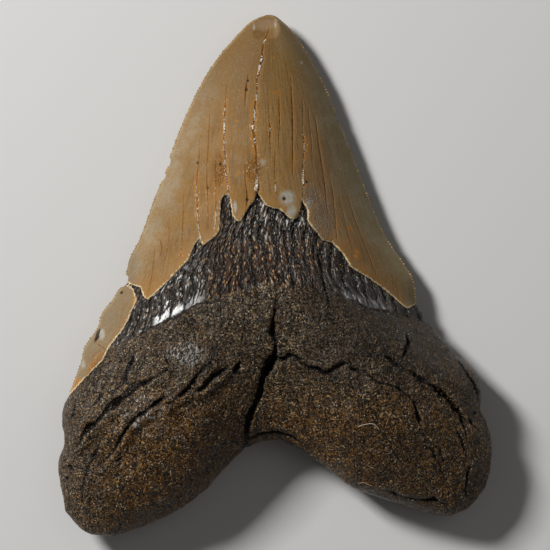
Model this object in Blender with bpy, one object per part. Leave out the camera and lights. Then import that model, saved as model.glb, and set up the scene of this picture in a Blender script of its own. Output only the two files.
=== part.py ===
"""A fossil megalodon tooth, resting on its labial face.

Blender 4.5, metres, +Z up.  The tip points along +Y, +X is to the right and the swollen
lingual face looks up.  The tooth grew as one piece, so it is one closed solid, "tooth":
a root and dentine core, the enamel cap fused over its crown end, and the cracks, furrows,
grooves and pits of the fossil cut into both.

Outline points and profiles are in millimetres on a tooth OUTLINE_LENGTH long, and
TOOTH_LENGTH sets the size that is built.
"""
import math

import bmesh
import bpy
import numpy as np
from mathutils import Matrix, Vector, noise
from mathutils.bvhtree import BVHTree

# ---------------------------------------------------------------- driving dimensions
TOOTH_LENGTH = 0.140        # tip to the end of the longer root lobe, metres
OUTLINE_LENGTH = 140.0      # the same length in the outlines below
MM = TOOTH_LENGTH / OUTLINE_LENGTH

COLUMNS = 28                # grid cells across the tooth on each face
ROWS = 37                   # grid cells from the tip to the root's lower rim
RIM_CROWDING = 0.65         # how far the cells crowd towards the rims, 0 to 1
WELD = 0.005 * MM           # merge distance for the seams of the grids and tubes

ENAMEL_FRONT = 0.8          # how far the enamel stands above the root, lingual face
ENAMEL_BACK = 0.5           # the same on the labial face
ENAMEL_EDGE = 0.7           # how far it reaches past the core at the cutting edges
ENAMEL_LIMIT = 0.86         # growth line at which the enamel blank is closed
ENAMEL_ENDS = (0.77, 0.59)  # growth lines at which it leaves the left and the right edge
INSET_FADE = 0.06           # growth lines over which the core comes out from under it
INSET_POWER = 4             # how closely that step keeps to the cutting edges
TIP_INSET = 1.4             # how far the core's tip lies inside the enamel's
SPLIT_HEIGHT = 6.0          # where the lingual and the labial enamel trims meet
TRIM_REACH = 80.0           # how far the trims run past the outline
DROP_HEIGHT = 60.0          # a height clear above the tooth

RISE_OF_LINES = 16.2        # how far the growth lines bow towards the tip
BOW_POWERS = (1.3, 1.6)     # shape of that bow along the tooth and across it
LOBE_PULL = 2.0             # how late the growth lines take up the root's arch

# ---------------------------------------------------------------- outline, seen from above
CROWN_LEFT = ((-1.8, 70.0), (-5.3, 68.8), (-8.6, 66.2), (-16.7, 56.5), (-23.2, 44.6),
              (-28.3, 31.7), (-29.1, 28.7), (-32.3, 20.6), (-36.1, 10.1), (-38.8, 4.9),
              (-40.6, -1.3))
SHOULDER_LEFT = ((-43.9, -7.1), (-46.4, -10.2), (-47.6, -14.2), (-51.0, -19.4),
                 (-52.0, -23.7), (-55.0, -31.5))
ROOT_LEFT = ((-57.0, -37.2), (-56.5, -44.8), (-57.8, -49.1), (-58.0, -52.9), (-56.1, -63.4))
CROWN_RIGHT = ((-1.8, 70.0), (0.9, 69.1), (6.0, 63.7), (12.5, 52.4), (17.6, 40.3),
               (21.7, 29.8), (25.4, 20.0), (29.8, 10.1), (36.8, -0.7), (37.9, -7.8))
ROOT_RIGHT = ((39.4, -10.5), (39.8, -12.1), (42.5, -14.5), (47.9, -20.5), (54.6, -27.7),
              (55.1, -36.1), (57.0, -40.4), (58.1, -45.6), (57.8, -51.0), (56.5, -56.1),
              (54.3, -59.9))
UNDERSIDE = ((-56.1, -63.4), (-51.0, -68.8), (-43.9, -70.0), (-37.7, -68.2), (-31.0, -65.5),
             (-24.0, -61.8), (-18.8, -57.7), (-14.5, -52.9), (-7.2, -46.0), (-1.3, -44.2),
             (3.0, -44.9), (7.4, -47.0), (13.3, -51.2), (19.5, -56.1), (26.3, -59.1),
             (33.8, -61.6), (41.4, -63.9), (46.5, -64.5), (51.1, -62.8), (54.3, -59.9))

# ---------------------------------------------------------------- heights along the tooth
# (growth line, millimetres); growth line 0 is the tip and 1 the root's lower rim
RIM_HEIGHT = ((0.0, 5.0), (0.3, 4.3), (0.5, 4.8), (0.62, 6.6), (0.72, 8.4), (1.0, 9.0))
LINGUAL = ((0.0, 2.4), (0.03, 3.3), (0.08, 4.6), (0.16, 6.8), (0.28, 9.2), (0.4, 11.2),
           (0.5, 12.2), (0.56, 12.2), (0.61, 12.6), (0.67, 14.8), (0.75, 17.2),
           (0.84, 16.6), (0.93, 14.0), (1.0, 12.0))
LABIAL = ((0.0, 1.2), (0.05, 1.8), (0.15, 3.0), (0.3, 4.0), (0.4, 4.2), (0.5, 4.3),
          (0.6, 5.2), (0.72, 7.2), (0.84, 8.9), (1.0, 9.4))
TIP_ROUNDING = 0.04         # share of the growth lines over which the tip rounds off
END_ROUNDING = 0.16         # the same at the lower rim
END_POWER = 2.2
CROWN_SECTION = (2.0, 0.95)     # powers of the lens section of the crown
ROOT_SECTION = (3.0, 0.55)      # powers of the full section of the root
SECTION_CHANGE = (0.5, 0.8)     # growth lines between which one turns into the other
LOBE_CREST = 1.6            # rise of each root lobe's own crest, lingual face
LABIAL_CREST = 1.3          # the same on the labial face, on which the lobes rest
LOBE_PLACE = 0.52           # where that crest runs, as a share of the half width
LOBE_SPREAD = 0.24
ARCH_SADDLE = 2.2           # hollow between the lobes, lingual face
LABIAL_HOLLOW = 2.4         # hollow between the lobes, labial face
SADDLE_SPREAD = 0.3
LOBE_ONSET = (0.72, 0.95)
LUMP_HEIGHT = 0.55          # soft lumps of the root
LUMP_SPACING = 9.0
LUMP_DETAIL = (2.0, 0.5)    # how much closer the finer lumps stand, and their share
LUMP_ONSET = (0.55, 0.72)

# ---------------------------------------------------------------- where the enamel ends
BASE_LINE = ((-40.6, -1.6), (-37.7, -2.9), (-36.1, -3.3), (-34.8, -6.3), (-33.7, -6.5),
             (-30.2, -3.3), (-26.1, 0.9), (-22.9, 4.3), (-21.5, 8.0), (-20.2, 9.7),
             (-19.1, 7.9), (-15.9, 10.2), (-14.8, 11.7), (-14.4, 19.8), (-13.4, 21.3),
             (-12.2, 21.0), (-11.3, 15.7), (-10.2, 14.4), (-9.0, 14.4), (-6.7, 18.3),
             (-5.6, 19.5), (-4.7, 21.7), (-3.4, 19.9), (-2.2, 18.2), (1.1, 17.5),
             (4.1, 14.8), (5.7, 14.9), (6.5, 16.8), (7.2, 19.8), (8.7, 17.3), (8.6, 14.4),
             (11.4, 10.9), (12.8, 9.1), (15.2, 8.7), (18.2, 5.5), (20.3, 2.0), (25.2, -0.9),
             (29.5, -4.0), (33.8, -7.8), (35.4, -9.0), (37.9, -7.8))
SHOULDER_TAB = ((-40.4, -2.1), (-38.0, -3.6), (-36.9, -6.8), (-40.2, -14.1), (-43.9, -18.8),
                (-46.1, -22.9), (-48.3, -25.0), (-55.0, -32.1))
LABIAL_LINE = ((-55.0, -32.1), (-44.5, -23.7), (-31.0, -17.2), (-16.1, -12.9),
               (-3.4, -11.3), (9.5, -11.8), (23.0, -11.8), (32.5, -10.2), (37.9, -7.8))

# ---------------------------------------------------------------- cracks, furrows, grooves
# each is its depth for a width of one, and (x, y, width) along the surface
CRACKS = {
    "central_split": (2.0, ((0.1, -9.0, 0.5), (0.1, -12.9, 0.8), (-0.5, -15.1, 1.2),
                            (0.2, -19.5, 0.9), (-0.5, -23.4, 2.8), (-1.4, -25.3, 2.6),
                            (-3.2, -28.0, 1.7), (-3.4, -31.3, 1.6), (-4.4, -34.0, 1.4),
                            (-5.9, -37.2, 1.8), (-7.0, -39.6, 1.4), (-7.5, -42.6, 1.1),
                            (-7.8, -47.4, 1.1))),
    "cross_crack": (1.3, ((0.3, -22.1, 1.0), (2.5, -22.2, 1.0), (3.6, -21.3, 0.9),
                          (7.1, -23.4, 1.0), (11.4, -25.0, 1.2), (13.6, -26.1, 1.3),
                          (15.7, -25.0, 1.0), (17.6, -24.2, 0.5))),
    "inner_arc": (1.3, ((20.3, -24.8, 0.5), (23.0, -25.4, 0.9), (28.7, -28.4, 1.3),
                        (31.7, -29.2, 1.2), (34.4, -31.3, 1.2), (36.8, -33.7, 1.4),
                        (37.7, -36.1, 1.1), (38.4, -39.6, 0.4))),
    "outer_arc": (1.2, ((27.3, -20.7, 0.4), (30.6, -22.3, 0.9), (36.2, -26.1, 1.1),
                        (42.2, -29.5, 1.3), (44.6, -31.7, 1.4), (47.6, -34.8, 1.3),
                        (49.7, -38.3, 1.1), (50.6, -41.5, 0.9), (51.0, -47.5, 0.7),
                        (51.4, -53.5, 0.4))),
    "shoulder_nick": (1.2, ((35.0, -15.6, 0.5), (35.6, -18.0, 0.9), (34.4, -22.0, 0.5))),
    "rim_crack": (1.2, ((49.7, -24.2, 0.5), (51.6, -27.2, 0.9), (53.5, -29.9, 0.9),
                        (54.8, -33.0, 0.5))),
    "upper_furrow": (0.7, ((-29.5, -26.6, 0.7), (-33.7, -28.0, 1.5), (-38.5, -31.8, 1.9),
                           (-43.7, -34.8, 1.9), (-47.7, -38.3, 1.8), (-51.2, -42.3, 1.5),
                           (-53.4, -47.2, 0.8))),
    "lower_furrow": (0.7, ((-10.2, -24.8, 0.8), (-15.3, -26.1, 1.5), (-17.5, -28.3, 1.6),
                           (-23.7, -30.8, 1.6), (-30.7, -34.0, 2.0), (-35.6, -36.7, 2.2),
                           (-39.4, -40.7, 2.0), (-43.9, -48.0, 1.7), (-47.0, -54.5, 1.2),
                           (-47.7, -62.0, 0.6))),
    "edge_furrow": (0.8, ((-45.3, -42.1, 0.6), (-48.0, -48.0, 1.0), (-50.4, -54.2, 1.1),
                          (-51.6, -61.0, 1.0), (-51.8, -67.0, 0.5))),
    "short_furrow": (0.8, ((-38.0, -21.5, 0.5), (-38.8, -24.5, 0.9), (-40.4, -28.6, 0.5))),
    "furrow_branch": (0.8, ((-19.9, -26.1, 0.5), (-21.5, -27.7, 0.9), (-23.4, -30.0, 0.6))),
    "toe_step": (0.9, ((29.8, -57.9, 0.4), (35.5, -58.9, 0.9), (40.8, -60.1, 1.0),
                       (44.1, -60.4, 0.5))),
    "arch_lip": (0.9, ((-6.6, -43.9, 0.6), (-3.4, -42.6, 1.0), (0.1, -41.9, 1.0),
                       (3.3, -42.5, 0.9), (7.0, -44.7, 0.5))),
    "neck_crack": (1.1, ((11.4, 6.6, 0.5), (12.5, 1.1, 0.7), (13.8, -5.1, 0.8),
                         (13.6, -13.7, 0.4))),
    "crown_crack": (0.9, ((-1.6, 65.8, 0.4), (-2.9, 62.2, 0.6), (-4.4, 53.3, 0.7),
                          (-4.9, 46.5, 0.6), (-5.5, 37.9, 0.7), (-4.9, 30.0, 0.7),
                          (-4.6, 22.5, 0.6))),
    "crown_crack_left": (0.9, ((-12.4, 53.0, 0.4), (-13.2, 44.5, 0.6), (-13.3, 36.0, 0.6),
                               (-12.8, 24.0, 0.5))),
    "crown_crack_outer": (0.9, ((-20.6, 30.8, 0.4), (-20.9, 20.7, 0.6), (-20.1, 11.5, 0.5))),
    "crown_crack_right": (0.9, ((7.6, 45.4, 0.4), (8.1, 34.5, 0.6), (7.7, 22.0, 0.6))),
}
CRACK_STEP = 3.0            # spacing of the points along a crack
CRACK_POINTS = 3            # fewest points along a crack
CRACK_RISE = 1.3            # how far a crack's cutter stands above the surface, in widths

STRIATIONS = 15             # grooves of the band between the enamel and the root
STRIATION_SPAN = (0.13, 0.9)
STRIATION_ENDS = (0.585, 0.69)
STRIATION_WIDTH = 0.9
STRIATION_DEPTH = 0.45      # for a width of one
STRIATION_POINTS = 4
STRIATION_TAPER = (0.1, 0.9)    # share of a half wave over which the width swells and ends

# (x, y, radius) of the pits, whose centres lie on the surface
PITS = ((-41.6, -49.1, 1.0), (-37.1, -48.0, 0.9), (-54.3, -51.2, 0.9), (-55.3, -54.2, 0.8),
        (-10.4, -24.8, 1.1), (2.5, 20.3, 0.5))
# (edge, growth line, radius, bite) of chips out of the cutting edges: edge 0 is the left
# one and 1 the right one, and the last chip is the gap above the shoulder tab
CHIPS = ((0.0, 0.329, 1.6, 0.8), (0.0, 0.355, 1.4, 0.7), (1.0, 0.23, 1.3, 0.8),
         (0.0, 0.557, 1.9, 1.7))
BALL_DIVISIONS = 1

ENAMEL_COLOUR = (0.36, 0.26, 0.16, 1.0)
ENAMEL_ROUGHNESS = 0.35
ROOT_COLOUR = (0.075, 0.05, 0.034, 1.0)
ROOT_ROUGHNESS = 0.6


# ---------------------------------------------------------------- curves and profiles
def smooth_curve(points, pieces=10):
    """Many points of a smooth curve through the given ones (Catmull-Rom)."""
    knots = np.array(points, dtype=float)
    ends = np.vstack([2 * knots[0] - knots[1], knots, 2 * knots[-1] - knots[-2]])
    t = np.linspace(0.0, 1.0, pieces, endpoint=False)[:, None]
    spans = []
    for before, start, end, after in zip(ends, ends[1:], ends[2:], ends[3:]):
        bend = 2 * before - 5 * start + 4 * end - after
        twist = -before + 3 * start - 3 * end + after
        spans.append(start + 0.5 * ((end - before) * t + bend * t**2 + twist * t**3))
    return np.vstack(spans + [knots[-1:]])


def along(points, shares):
    """Points of the smooth curve at the given shares of its length."""
    curve = smooth_curve(points)
    steps = np.linalg.norm(np.diff(curve[:, :2], axis=0), axis=1)
    run = np.concatenate([[0.0], np.cumsum(steps)]) / steps.sum()
    return np.stack([np.interp(shares, run, axis) for axis in curve.T], axis=-1)


def profile(table, at):
    """Value of a smooth profile, a table of (place, value), at each place."""
    curve = smooth_curve(table)
    return np.interp(at, curve[:, 0], curve[:, 1])


def ease(value, limits):
    """Smooth change from 0 at the first limit to 1 at the second."""
    t = np.clip((value - limits[0]) / (limits[1] - limits[0]), 0.0, 1.0)
    return t * t * (3.0 - 2.0 * t)


def blend(first, second, share):
    """The first value moved by a share towards the second."""
    return first + share * (second - first)


def hump(value, place, spread):
    """Bell of height 1 at the place."""
    return np.exp(-((value - place) / spread) ** 2)


# ---------------------------------------------------------------- the tooth's surface
def plan(across, down):
    """Place seen from above, in outline units, of each (across, down) pair.

    across runs from 0 at the left edge to 1 at the right, down from 0 at the tip to 1 at
    the root's lower rim.  Lines of equal down are the tooth's growth lines.
    """
    left = along(CROWN_LEFT + SHOULDER_LEFT + ROOT_LEFT, down)
    right = along(CROWN_RIGHT + ROOT_RIGHT, down)
    under = along(UNDERSIDE, across)
    share = across[:, None]
    chord = (1.0 - share) * np.array(UNDERSIDE[0]) + share * np.array(UNDERSIDE[-1])
    place = (1.0 - share) * left + share * right
    place += (down ** LOBE_PULL)[:, None] * (under - chord)
    lengthwise, sideways = BOW_POWERS
    bow = np.sin(math.pi * down) ** lengthwise
    bow *= 1.0 - np.abs(2.0 * across - 1.0) ** sideways
    place[:, 1] += RISE_OF_LINES * bow
    return place


def section(across, down):
    """Fullness of the cross-section, 1 on the crest and 0 at the rim."""
    side = np.abs(2.0 * across - 1.0)
    root = ease(down, SECTION_CHANGE)
    power = blend(CROWN_SECTION[0], ROOT_SECTION[0], root)
    shape = blend(CROWN_SECTION[1], ROOT_SECTION[1], root)
    tip = np.clip(down / TIP_ROUNDING, 0.0, 1.0)
    end = np.clip((down - 1.0 + END_ROUNDING) / END_ROUNDING, 0.0, 1.0)
    ends = np.sqrt(tip * (1.0 - end ** END_POWER))
    return ends * np.maximum(1.0 - side ** power, 0.0) ** shape


def lumps(place):
    """Soft uneven lumps, -1 to 1, at each place."""
    closer, share = LUMP_DETAIL
    spots = [Vector((x, y, 0.0)) / LUMP_SPACING for x, y in place]
    return np.array([noise.noise(spot) + share * noise.noise(closer * spot) for spot in spots])


def face(across, down, lingual, enamel):
    """Points of one face in metres, with or without the enamel's thickness."""
    place = plan(across, down)
    full = section(across, down)
    side = 2.0 * across - 1.0
    lobes = ease(down, LOBE_ONSET)
    crest = hump(np.abs(side), LOBE_PLACE, LOBE_SPREAD)
    saddle = hump(side, 0.0, SADDLE_SPREAD)
    uneven = LUMP_HEIGHT * lumps(place) * ease(down, LUMP_ONSET)
    rim = profile(RIM_HEIGHT, down)
    if lingual:
        rise = profile(LINGUAL, down) + uneven
        rise += lobes * (LOBE_CREST * crest - ARCH_SADDLE * saddle)
        height = rim + (rise + enamel * ENAMEL_FRONT) * full
    else:
        drop = profile(LABIAL, down) + uneven
        drop += lobes * (LABIAL_CREST * crest - LABIAL_HOLLOW * saddle)
        height = rim - (drop + enamel * ENAMEL_BACK) * full
    return place, height


def inset(place, across, down):
    """The core's outline, drawn in under the enamel that covers the cutting edges."""
    side = 2.0 * across - 1.0
    end = np.where(side < 0.0, *ENAMEL_ENDS)
    covered = 1.0 - ease(down, (end - INSET_FADE, end))
    drawn = place.copy()
    drawn[:, 0] -= ENAMEL_EDGE * np.sign(side) * np.abs(side) ** INSET_POWER * covered
    drawn[:, 1] -= TIP_INSET * hump(down, 0.0, INSET_FADE)
    return drawn


def blank(name, enamel, last_line):
    """Closed solid between the two faces, from the tip to a growth line."""
    mesh = bmesh.new()
    for lingual in (True, False):
        sheet = bmesh.ops.create_grid(mesh, x_segments=COLUMNS, y_segments=ROWS, size=0.5)
        verts = sheet["verts"]
        grid = np.array([vert.co[:2] for vert in verts]) + 0.5
        across = blend(grid[:, 0], 0.5 - 0.5 * np.cos(math.pi * grid[:, 0]), RIM_CROWDING)
        run = 1.0 - grid[:, 1]
        down = last_line * blend(run, np.sin(0.5 * math.pi * run), RIM_CROWDING)
        place, height = face(across, down, lingual, enamel)
        if not enamel:
            place = inset(place, across, down)
        for vert, (x, y), z in zip(verts, place, height):
            vert.co = Vector((x, y, z)) * MM
    bmesh.ops.remove_doubles(mesh, verts=mesh.verts, dist=WELD)
    open_end = [edge for edge in mesh.edges if edge.is_boundary]
    if open_end:
        bmesh.ops.contextual_create(mesh, geom=open_end)
    bmesh.ops.triangulate(mesh, faces=mesh.faces)
    bmesh.ops.recalc_face_normals(mesh, faces=mesh.faces)
    return as_object(name, mesh)


# ---------------------------------------------------------------- objects
def as_object(name, mesh):
    """Object made from a bmesh, which is freed."""
    data = bpy.data.meshes.new(name)
    mesh.to_mesh(data)
    mesh.free()
    return bpy.data.objects.new(name, data)


def from_curve(name, data):
    """Closed mesh object from curve data, its caps welded."""
    guide = bpy.data.objects.new(name + "_curve", data)
    bpy.context.scene.collection.objects.link(guide)
    evaluated = guide.evaluated_get(bpy.context.evaluated_depsgraph_get())
    mesh = bmesh.new()
    mesh.from_mesh(bpy.data.meshes.new_from_object(evaluated))
    bpy.data.objects.remove(guide)
    bmesh.ops.remove_doubles(mesh, verts=mesh.verts, dist=WELD)
    bmesh.ops.recalc_face_normals(mesh, faces=mesh.faces)
    return as_object(name, mesh)


def outline_curve(name, points):
    """Closed flat curve through points given in outline units."""
    data = bpy.data.curves.new(name, "CURVE")
    data.dimensions = "2D"
    data.fill_mode = "BOTH"
    line = data.splines.new("POLY")
    line.points.add(len(points) - 1)
    for knot, (x, y) in zip(line.points, points):
        knot.co = (x * MM, y * MM, 0.0, 1.0)
    line.use_cyclic_u = True
    return data


def prism(name, points, low, high):
    """Upright block of the given outline between two heights."""
    data = outline_curve(name, points)
    data.extrude = 0.5 * (high - low) * MM
    block = from_curve(name, data)
    block.data.transform(Matrix.Translation((0.0, 0.0, 0.5 * (high + low) * MM)))
    return block


def ball(name, centre, radius):
    """Small round cutter for a pit or a chip."""
    mesh = bmesh.new()
    bmesh.ops.create_icosphere(mesh, subdivisions=BALL_DIVISIONS, radius=radius * MM,
                               matrix=Matrix.Translation(centre))
    return as_object(name, mesh)


def groove(name, depth, path):
    """V-shaped cutter swept along points of (x, y, z) in metres and a width."""
    reach = 0.5 * (1.0 + CRACK_RISE / depth)
    outline = ((-reach, CRACK_RISE), (reach, CRACK_RISE), (0.0, -depth))
    wedge = bpy.data.objects.new(name + "_profile", outline_curve(name + "_profile", outline))
    data = bpy.data.curves.new(name, "CURVE")
    data.dimensions = "3D"
    data.twist_mode = "Z_UP"
    data.bevel_mode = "OBJECT"
    data.bevel_object = wedge
    data.use_fill_caps = True
    line = data.splines.new("POLY")
    line.points.add(len(path) - 1)
    for knot, (spot, width) in zip(line.points, path):
        knot.co = (*spot, 1.0)
        knot.radius = width
    cutter = from_curve(name, data)
    bpy.data.objects.remove(wedge)
    return cutter


def cut(target, cutter, operation="DIFFERENCE"):
    """Boolean modifier on the target."""
    step = target.modifiers.new(cutter.name, "BOOLEAN")
    step.operation = operation
    step.solver = "EXACT"
    step.material_mode = "TRANSFER"
    step.object = cutter


def surface_finder(target):
    """Function that drops a point at (x, y), outline units, onto the target's upper side."""
    bpy.context.view_layer.update()
    tree = BVHTree.FromObject(target, bpy.context.evaluated_depsgraph_get())

    def drop(x, y):
        """Point of the upper side at (x, y), or at rim height where there is none."""
        above = Vector((x * MM, y * MM, DROP_HEIGHT * MM))
        hit = tree.ray_cast(above, Vector((0.0, 0.0, -1.0)))[0]
        return hit or Vector((x * MM, y * MM, RIM_HEIGHT[-1][1] * MM))

    return drop


# ---------------------------------------------------------------- the tooth's features
def enamel_cap(cutters):
    """Enamel blank, trimmed to the jagged line where each face's enamel ends."""
    cap = blank("enamel_cap", True, ENAMEL_LIMIT)
    left = (-TRIM_REACH, SHOULDER_TAB[-1][1])
    right = (TRIM_REACH, BASE_LINE[-1][1])
    below = ((TRIM_REACH, -TRIM_REACH), (-TRIM_REACH, -TRIM_REACH))
    lingual = BASE_LINE + (right,) + below + (left,) + SHOULDER_TAB[::-1]
    labial = LABIAL_LINE + (right,) + below + (left,)
    trims = (prism("lingual_trim", lingual, SPLIT_HEIGHT, DROP_HEIGHT),
             prism("labial_trim", labial, -DROP_HEIGHT, SPLIT_HEIGHT))
    for trim in trims:
        cutters.objects.link(trim)
        cut(cap, trim)
    return cap


def crack_cutters(drop):
    """Cutter for each crack and furrow, laid along the surface."""
    for name, (depth, points) in CRACKS.items():
        curve = smooth_curve(points)
        length = np.linalg.norm(np.diff(curve[:, :2], axis=0), axis=1).sum()
        count = max(CRACK_POINTS, round(length / CRACK_STEP) + 1)
        stops = along(points, np.linspace(0.0, 1.0, count))
        yield groove(name, depth, [(drop(x, y), width) for x, y, width in stops])


def striation_cutters(drop):
    """Cutter for each fine groove that runs down the band below the enamel."""
    down = np.linspace(*STRIATION_ENDS, STRIATION_POINTS)
    swell = np.linspace(*STRIATION_TAPER, STRIATION_POINTS)
    widths = STRIATION_WIDTH * np.sin(math.pi * swell)
    for index, share in enumerate(np.linspace(*STRIATION_SPAN, STRIATIONS)):
        stops = plan(np.full(STRIATION_POINTS, share), down)
        path = [(drop(x, y), width) for (x, y), width in zip(stops, widths)]
        yield groove(f"striation_{index}", STRIATION_DEPTH, path)


def ball_cutters(drop):
    """Cutter for each pit of the root and each chip of the cutting edges."""
    for index, (x, y, radius) in enumerate(PITS):
        yield ball(f"pit_{index}", drop(x, y), radius)
    for index, (edge, line, radius, bite) in enumerate(CHIPS):
        x, y = plan(np.array([edge]), np.array([line]))[0]
        x += math.copysign(radius - bite, x)
        height = profile(RIM_HEIGHT, line)
        yield ball(f"chip_{index}", Vector((x, y, height)) * MM, radius)


def resting_cutter():
    """Block that levels the spots of the labial face on which the tooth lies."""
    edge = TRIM_REACH
    square = ((-edge, -edge), (edge, -edge), (edge, edge), (-edge, edge))
    return prism("rest_level", square, -DROP_HEIGHT, 0.0)


def finish(name, colour, roughness):
    """Principled material."""
    material = bpy.data.materials.new(name)
    material.use_nodes = True
    shader = material.node_tree.nodes["Principled BSDF"]
    shader.inputs["Base Color"].default_value = colour
    shader.inputs["Roughness"].default_value = roughness
    shader.inputs["Metallic"].default_value = 0.0
    return material


def new_collection(name):
    """Collection linked to the scene."""
    made = bpy.data.collections.new(name)
    bpy.context.scene.collection.children.link(made)
    return made


def build():
    """Clear the scene and build the tooth."""
    for old in list(bpy.data.objects):
        bpy.data.objects.remove(old)
    parts = new_collection("megalodon_tooth")
    cutters = new_collection("cutters")

    tooth = blank("tooth", False, 1.0)
    tooth.data.materials.append(finish("root_dentine", ROOT_COLOUR, ROOT_ROUGHNESS))
    parts.objects.link(tooth)
    cap = enamel_cap(cutters)
    cap.data.materials.append(finish("enamel", ENAMEL_COLOUR, ENAMEL_ROUGHNESS))
    cutters.objects.link(cap)
    cut(tooth, cap, "UNION")

    drop = surface_finder(tooth)
    marks = [*striation_cutters(drop), *crack_cutters(drop), *ball_cutters(drop)]
    for cutter in marks + [resting_cutter()]:
        cutters.objects.link(cutter)
        cut(tooth, cutter)

    for cutter in cutters.objects:
        cutter.hide_render = True
        cutter.display_type = "WIRE"


build()
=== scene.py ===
"""Looks of a fossil megalodon tooth that lies on its labial face.

The tooth is one visual piece with the form of its CAD solid: a pillow between two faces
drawn on growth lines, with an enamel cap, a dark ridged band and a cracked root.  Fine
pieces sit on it: edge serrations, mineral in the crown's cracks, and grit and lint.
Outline units are millimetres on a tooth OUTLINE_LENGTH long, with the tip at +y.
"""
import logging
import math
from collections.abc import Callable, Iterable, Sequence
from dataclasses import dataclass
from enum import Enum

import bpy
import numpy as np
from bpy.types import ID, Material, Mesh, Node, NodeSocket, NodeTree, Object
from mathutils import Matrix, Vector, noise
from mathutils.bvhtree import BVHTree


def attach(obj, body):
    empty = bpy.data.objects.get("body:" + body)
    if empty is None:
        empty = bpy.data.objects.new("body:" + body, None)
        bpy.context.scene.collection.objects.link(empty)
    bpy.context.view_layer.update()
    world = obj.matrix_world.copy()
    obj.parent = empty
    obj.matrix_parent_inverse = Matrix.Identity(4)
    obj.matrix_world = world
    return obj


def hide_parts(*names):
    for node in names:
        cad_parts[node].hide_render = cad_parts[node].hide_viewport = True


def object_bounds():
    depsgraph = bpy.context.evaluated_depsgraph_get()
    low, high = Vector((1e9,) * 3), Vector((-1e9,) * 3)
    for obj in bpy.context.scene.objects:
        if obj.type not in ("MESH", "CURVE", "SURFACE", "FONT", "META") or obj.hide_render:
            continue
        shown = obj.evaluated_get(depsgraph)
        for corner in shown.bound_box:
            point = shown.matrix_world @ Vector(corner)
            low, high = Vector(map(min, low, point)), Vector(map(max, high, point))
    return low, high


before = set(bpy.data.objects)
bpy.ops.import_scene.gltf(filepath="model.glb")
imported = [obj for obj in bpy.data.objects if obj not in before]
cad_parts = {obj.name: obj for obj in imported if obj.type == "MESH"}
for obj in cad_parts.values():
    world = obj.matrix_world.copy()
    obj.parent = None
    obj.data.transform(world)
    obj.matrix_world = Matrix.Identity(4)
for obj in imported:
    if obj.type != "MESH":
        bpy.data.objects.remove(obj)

Points = Sequence[tuple[float, ...]]
Colour = tuple[float, float, float]
Array = np.ndarray

LOG = logging.getLogger("megalodon_tooth")
CAD_BOX = [list(corner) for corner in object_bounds()]
NODE = "tooth"
BODY = "root"
OUTLINE_LENGTH = 140.0
VEIN_DEPTH = 0.45
MM = (CAD_BOX[1][1] - CAD_BOX[0][1]) / OUTLINE_LENGTH
SPAN_ACROSS, SPAN_DOWN, SPAN_THICK = 85.0, 150.0, 40.0    # of the growth lines


class Face(Enum):
    """The tooth's two faces."""

    LINGUAL = "swollen upper face"
    LABIAL = "flat lower face"


class Mark(Enum):
    """What a line on the tooth is."""

    CRACK = "open crack of the root"
    VEIN = "mineral-filled crack of the crown"


class Stain(Enum):
    """What a soft spot on the tooth is, by the name of the number stored on the mesh.

    The second kind is a pale mineral ring on the enamel, and on the root a glossy patch, darkened
    and dotted with painted glints.
    """

    RUST = "rust"
    HALO = "halo"
    FLAKE = "flake"
    WORN = "worn"


# ---------------------------------------------------------------- curves and profiles
def smooth_curve(points: Points, pieces: int = 10) -> Array:
    """Draw a smooth curve through points (Catmull-Rom).

    Args:
        points: Rows of values, the first two being x and y.
        pieces: Samples between two points.

    Returns:
        The sampled rows.
    """
    knots = np.array(points, dtype=float)
    ends = np.vstack([2 * knots[0] - knots[1], knots, 2 * knots[-1] - knots[-2]])
    t = np.linspace(0.0, 1.0, pieces, endpoint=False)[:, None]
    spans = []
    for before, start, end, after in zip(ends, ends[1:], ends[2:], ends[3:]):
        bend = 2 * before - 5 * start + 4 * end - after
        twist = -before + 3 * start - 3 * end + after
        spans.append(start + 0.5 * ((end - before) * t + bend * t**2 + twist * t**3))
    return np.vstack(spans + [knots[-1:]])


def along(points: Points, shares: Array) -> Array:
    """Sample the smooth curve through points at shares of its length.

    Args:
        points: Rows of values, the first two being x and y.
        shares: Places along the curve, 0 to 1.

    Returns:
        One row for each share.
    """
    curve = smooth_curve(points)
    steps = np.linalg.norm(np.diff(curve[:, :2], axis=0), axis=1)
    run = np.concatenate([[0.0], np.cumsum(steps)]) / steps.sum()
    return np.stack([np.interp(shares, run, axis) for axis in curve.T], axis=-1)


def profile(table: Points, at: Array) -> Array:
    """Read a smooth profile, a table of (place, value), at each place."""
    curve = smooth_curve(table)
    return np.interp(at, curve[:, 0], curve[:, 1])


def ease(value: Array, low: float, high: float) -> Array:
    """Change smoothly from 0 at low to 1 at high."""
    t = np.clip((value - low) / (high - low), 0.0, 1.0)
    return t * t * (3.0 - 2.0 * t)


def hump(value: Array, place: float, spread: float) -> Array:
    """Draw a bell of height 1 at the place."""
    return np.exp(-((value - place) / spread) ** 2)


def blend(first: Array, second: Array, share: Array) -> Array:
    """Move the first value by a share towards the second."""
    return first + share * (second - first)


def inside(place: Array, corners: Array) -> Array:
    """Test which places lie inside a closed outline.

    Args:
        place: Rows of x and y.
        corners: The outline's rows of x and y.

    Returns:
        One truth value for each place.
    """
    found = np.zeros(len(place), dtype=bool)
    x, y = place[:, 0], place[:, 1]
    for (x0, y0), (x1, y1) in zip(corners, np.roll(corners, -1, axis=0)):
        if y0 == y1:
            continue
        crossed = (y0 > y) != (y1 > y)
        found ^= crossed & (x < x0 + (y - y0) * (x1 - x0) / (y1 - y0))
    return found


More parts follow.
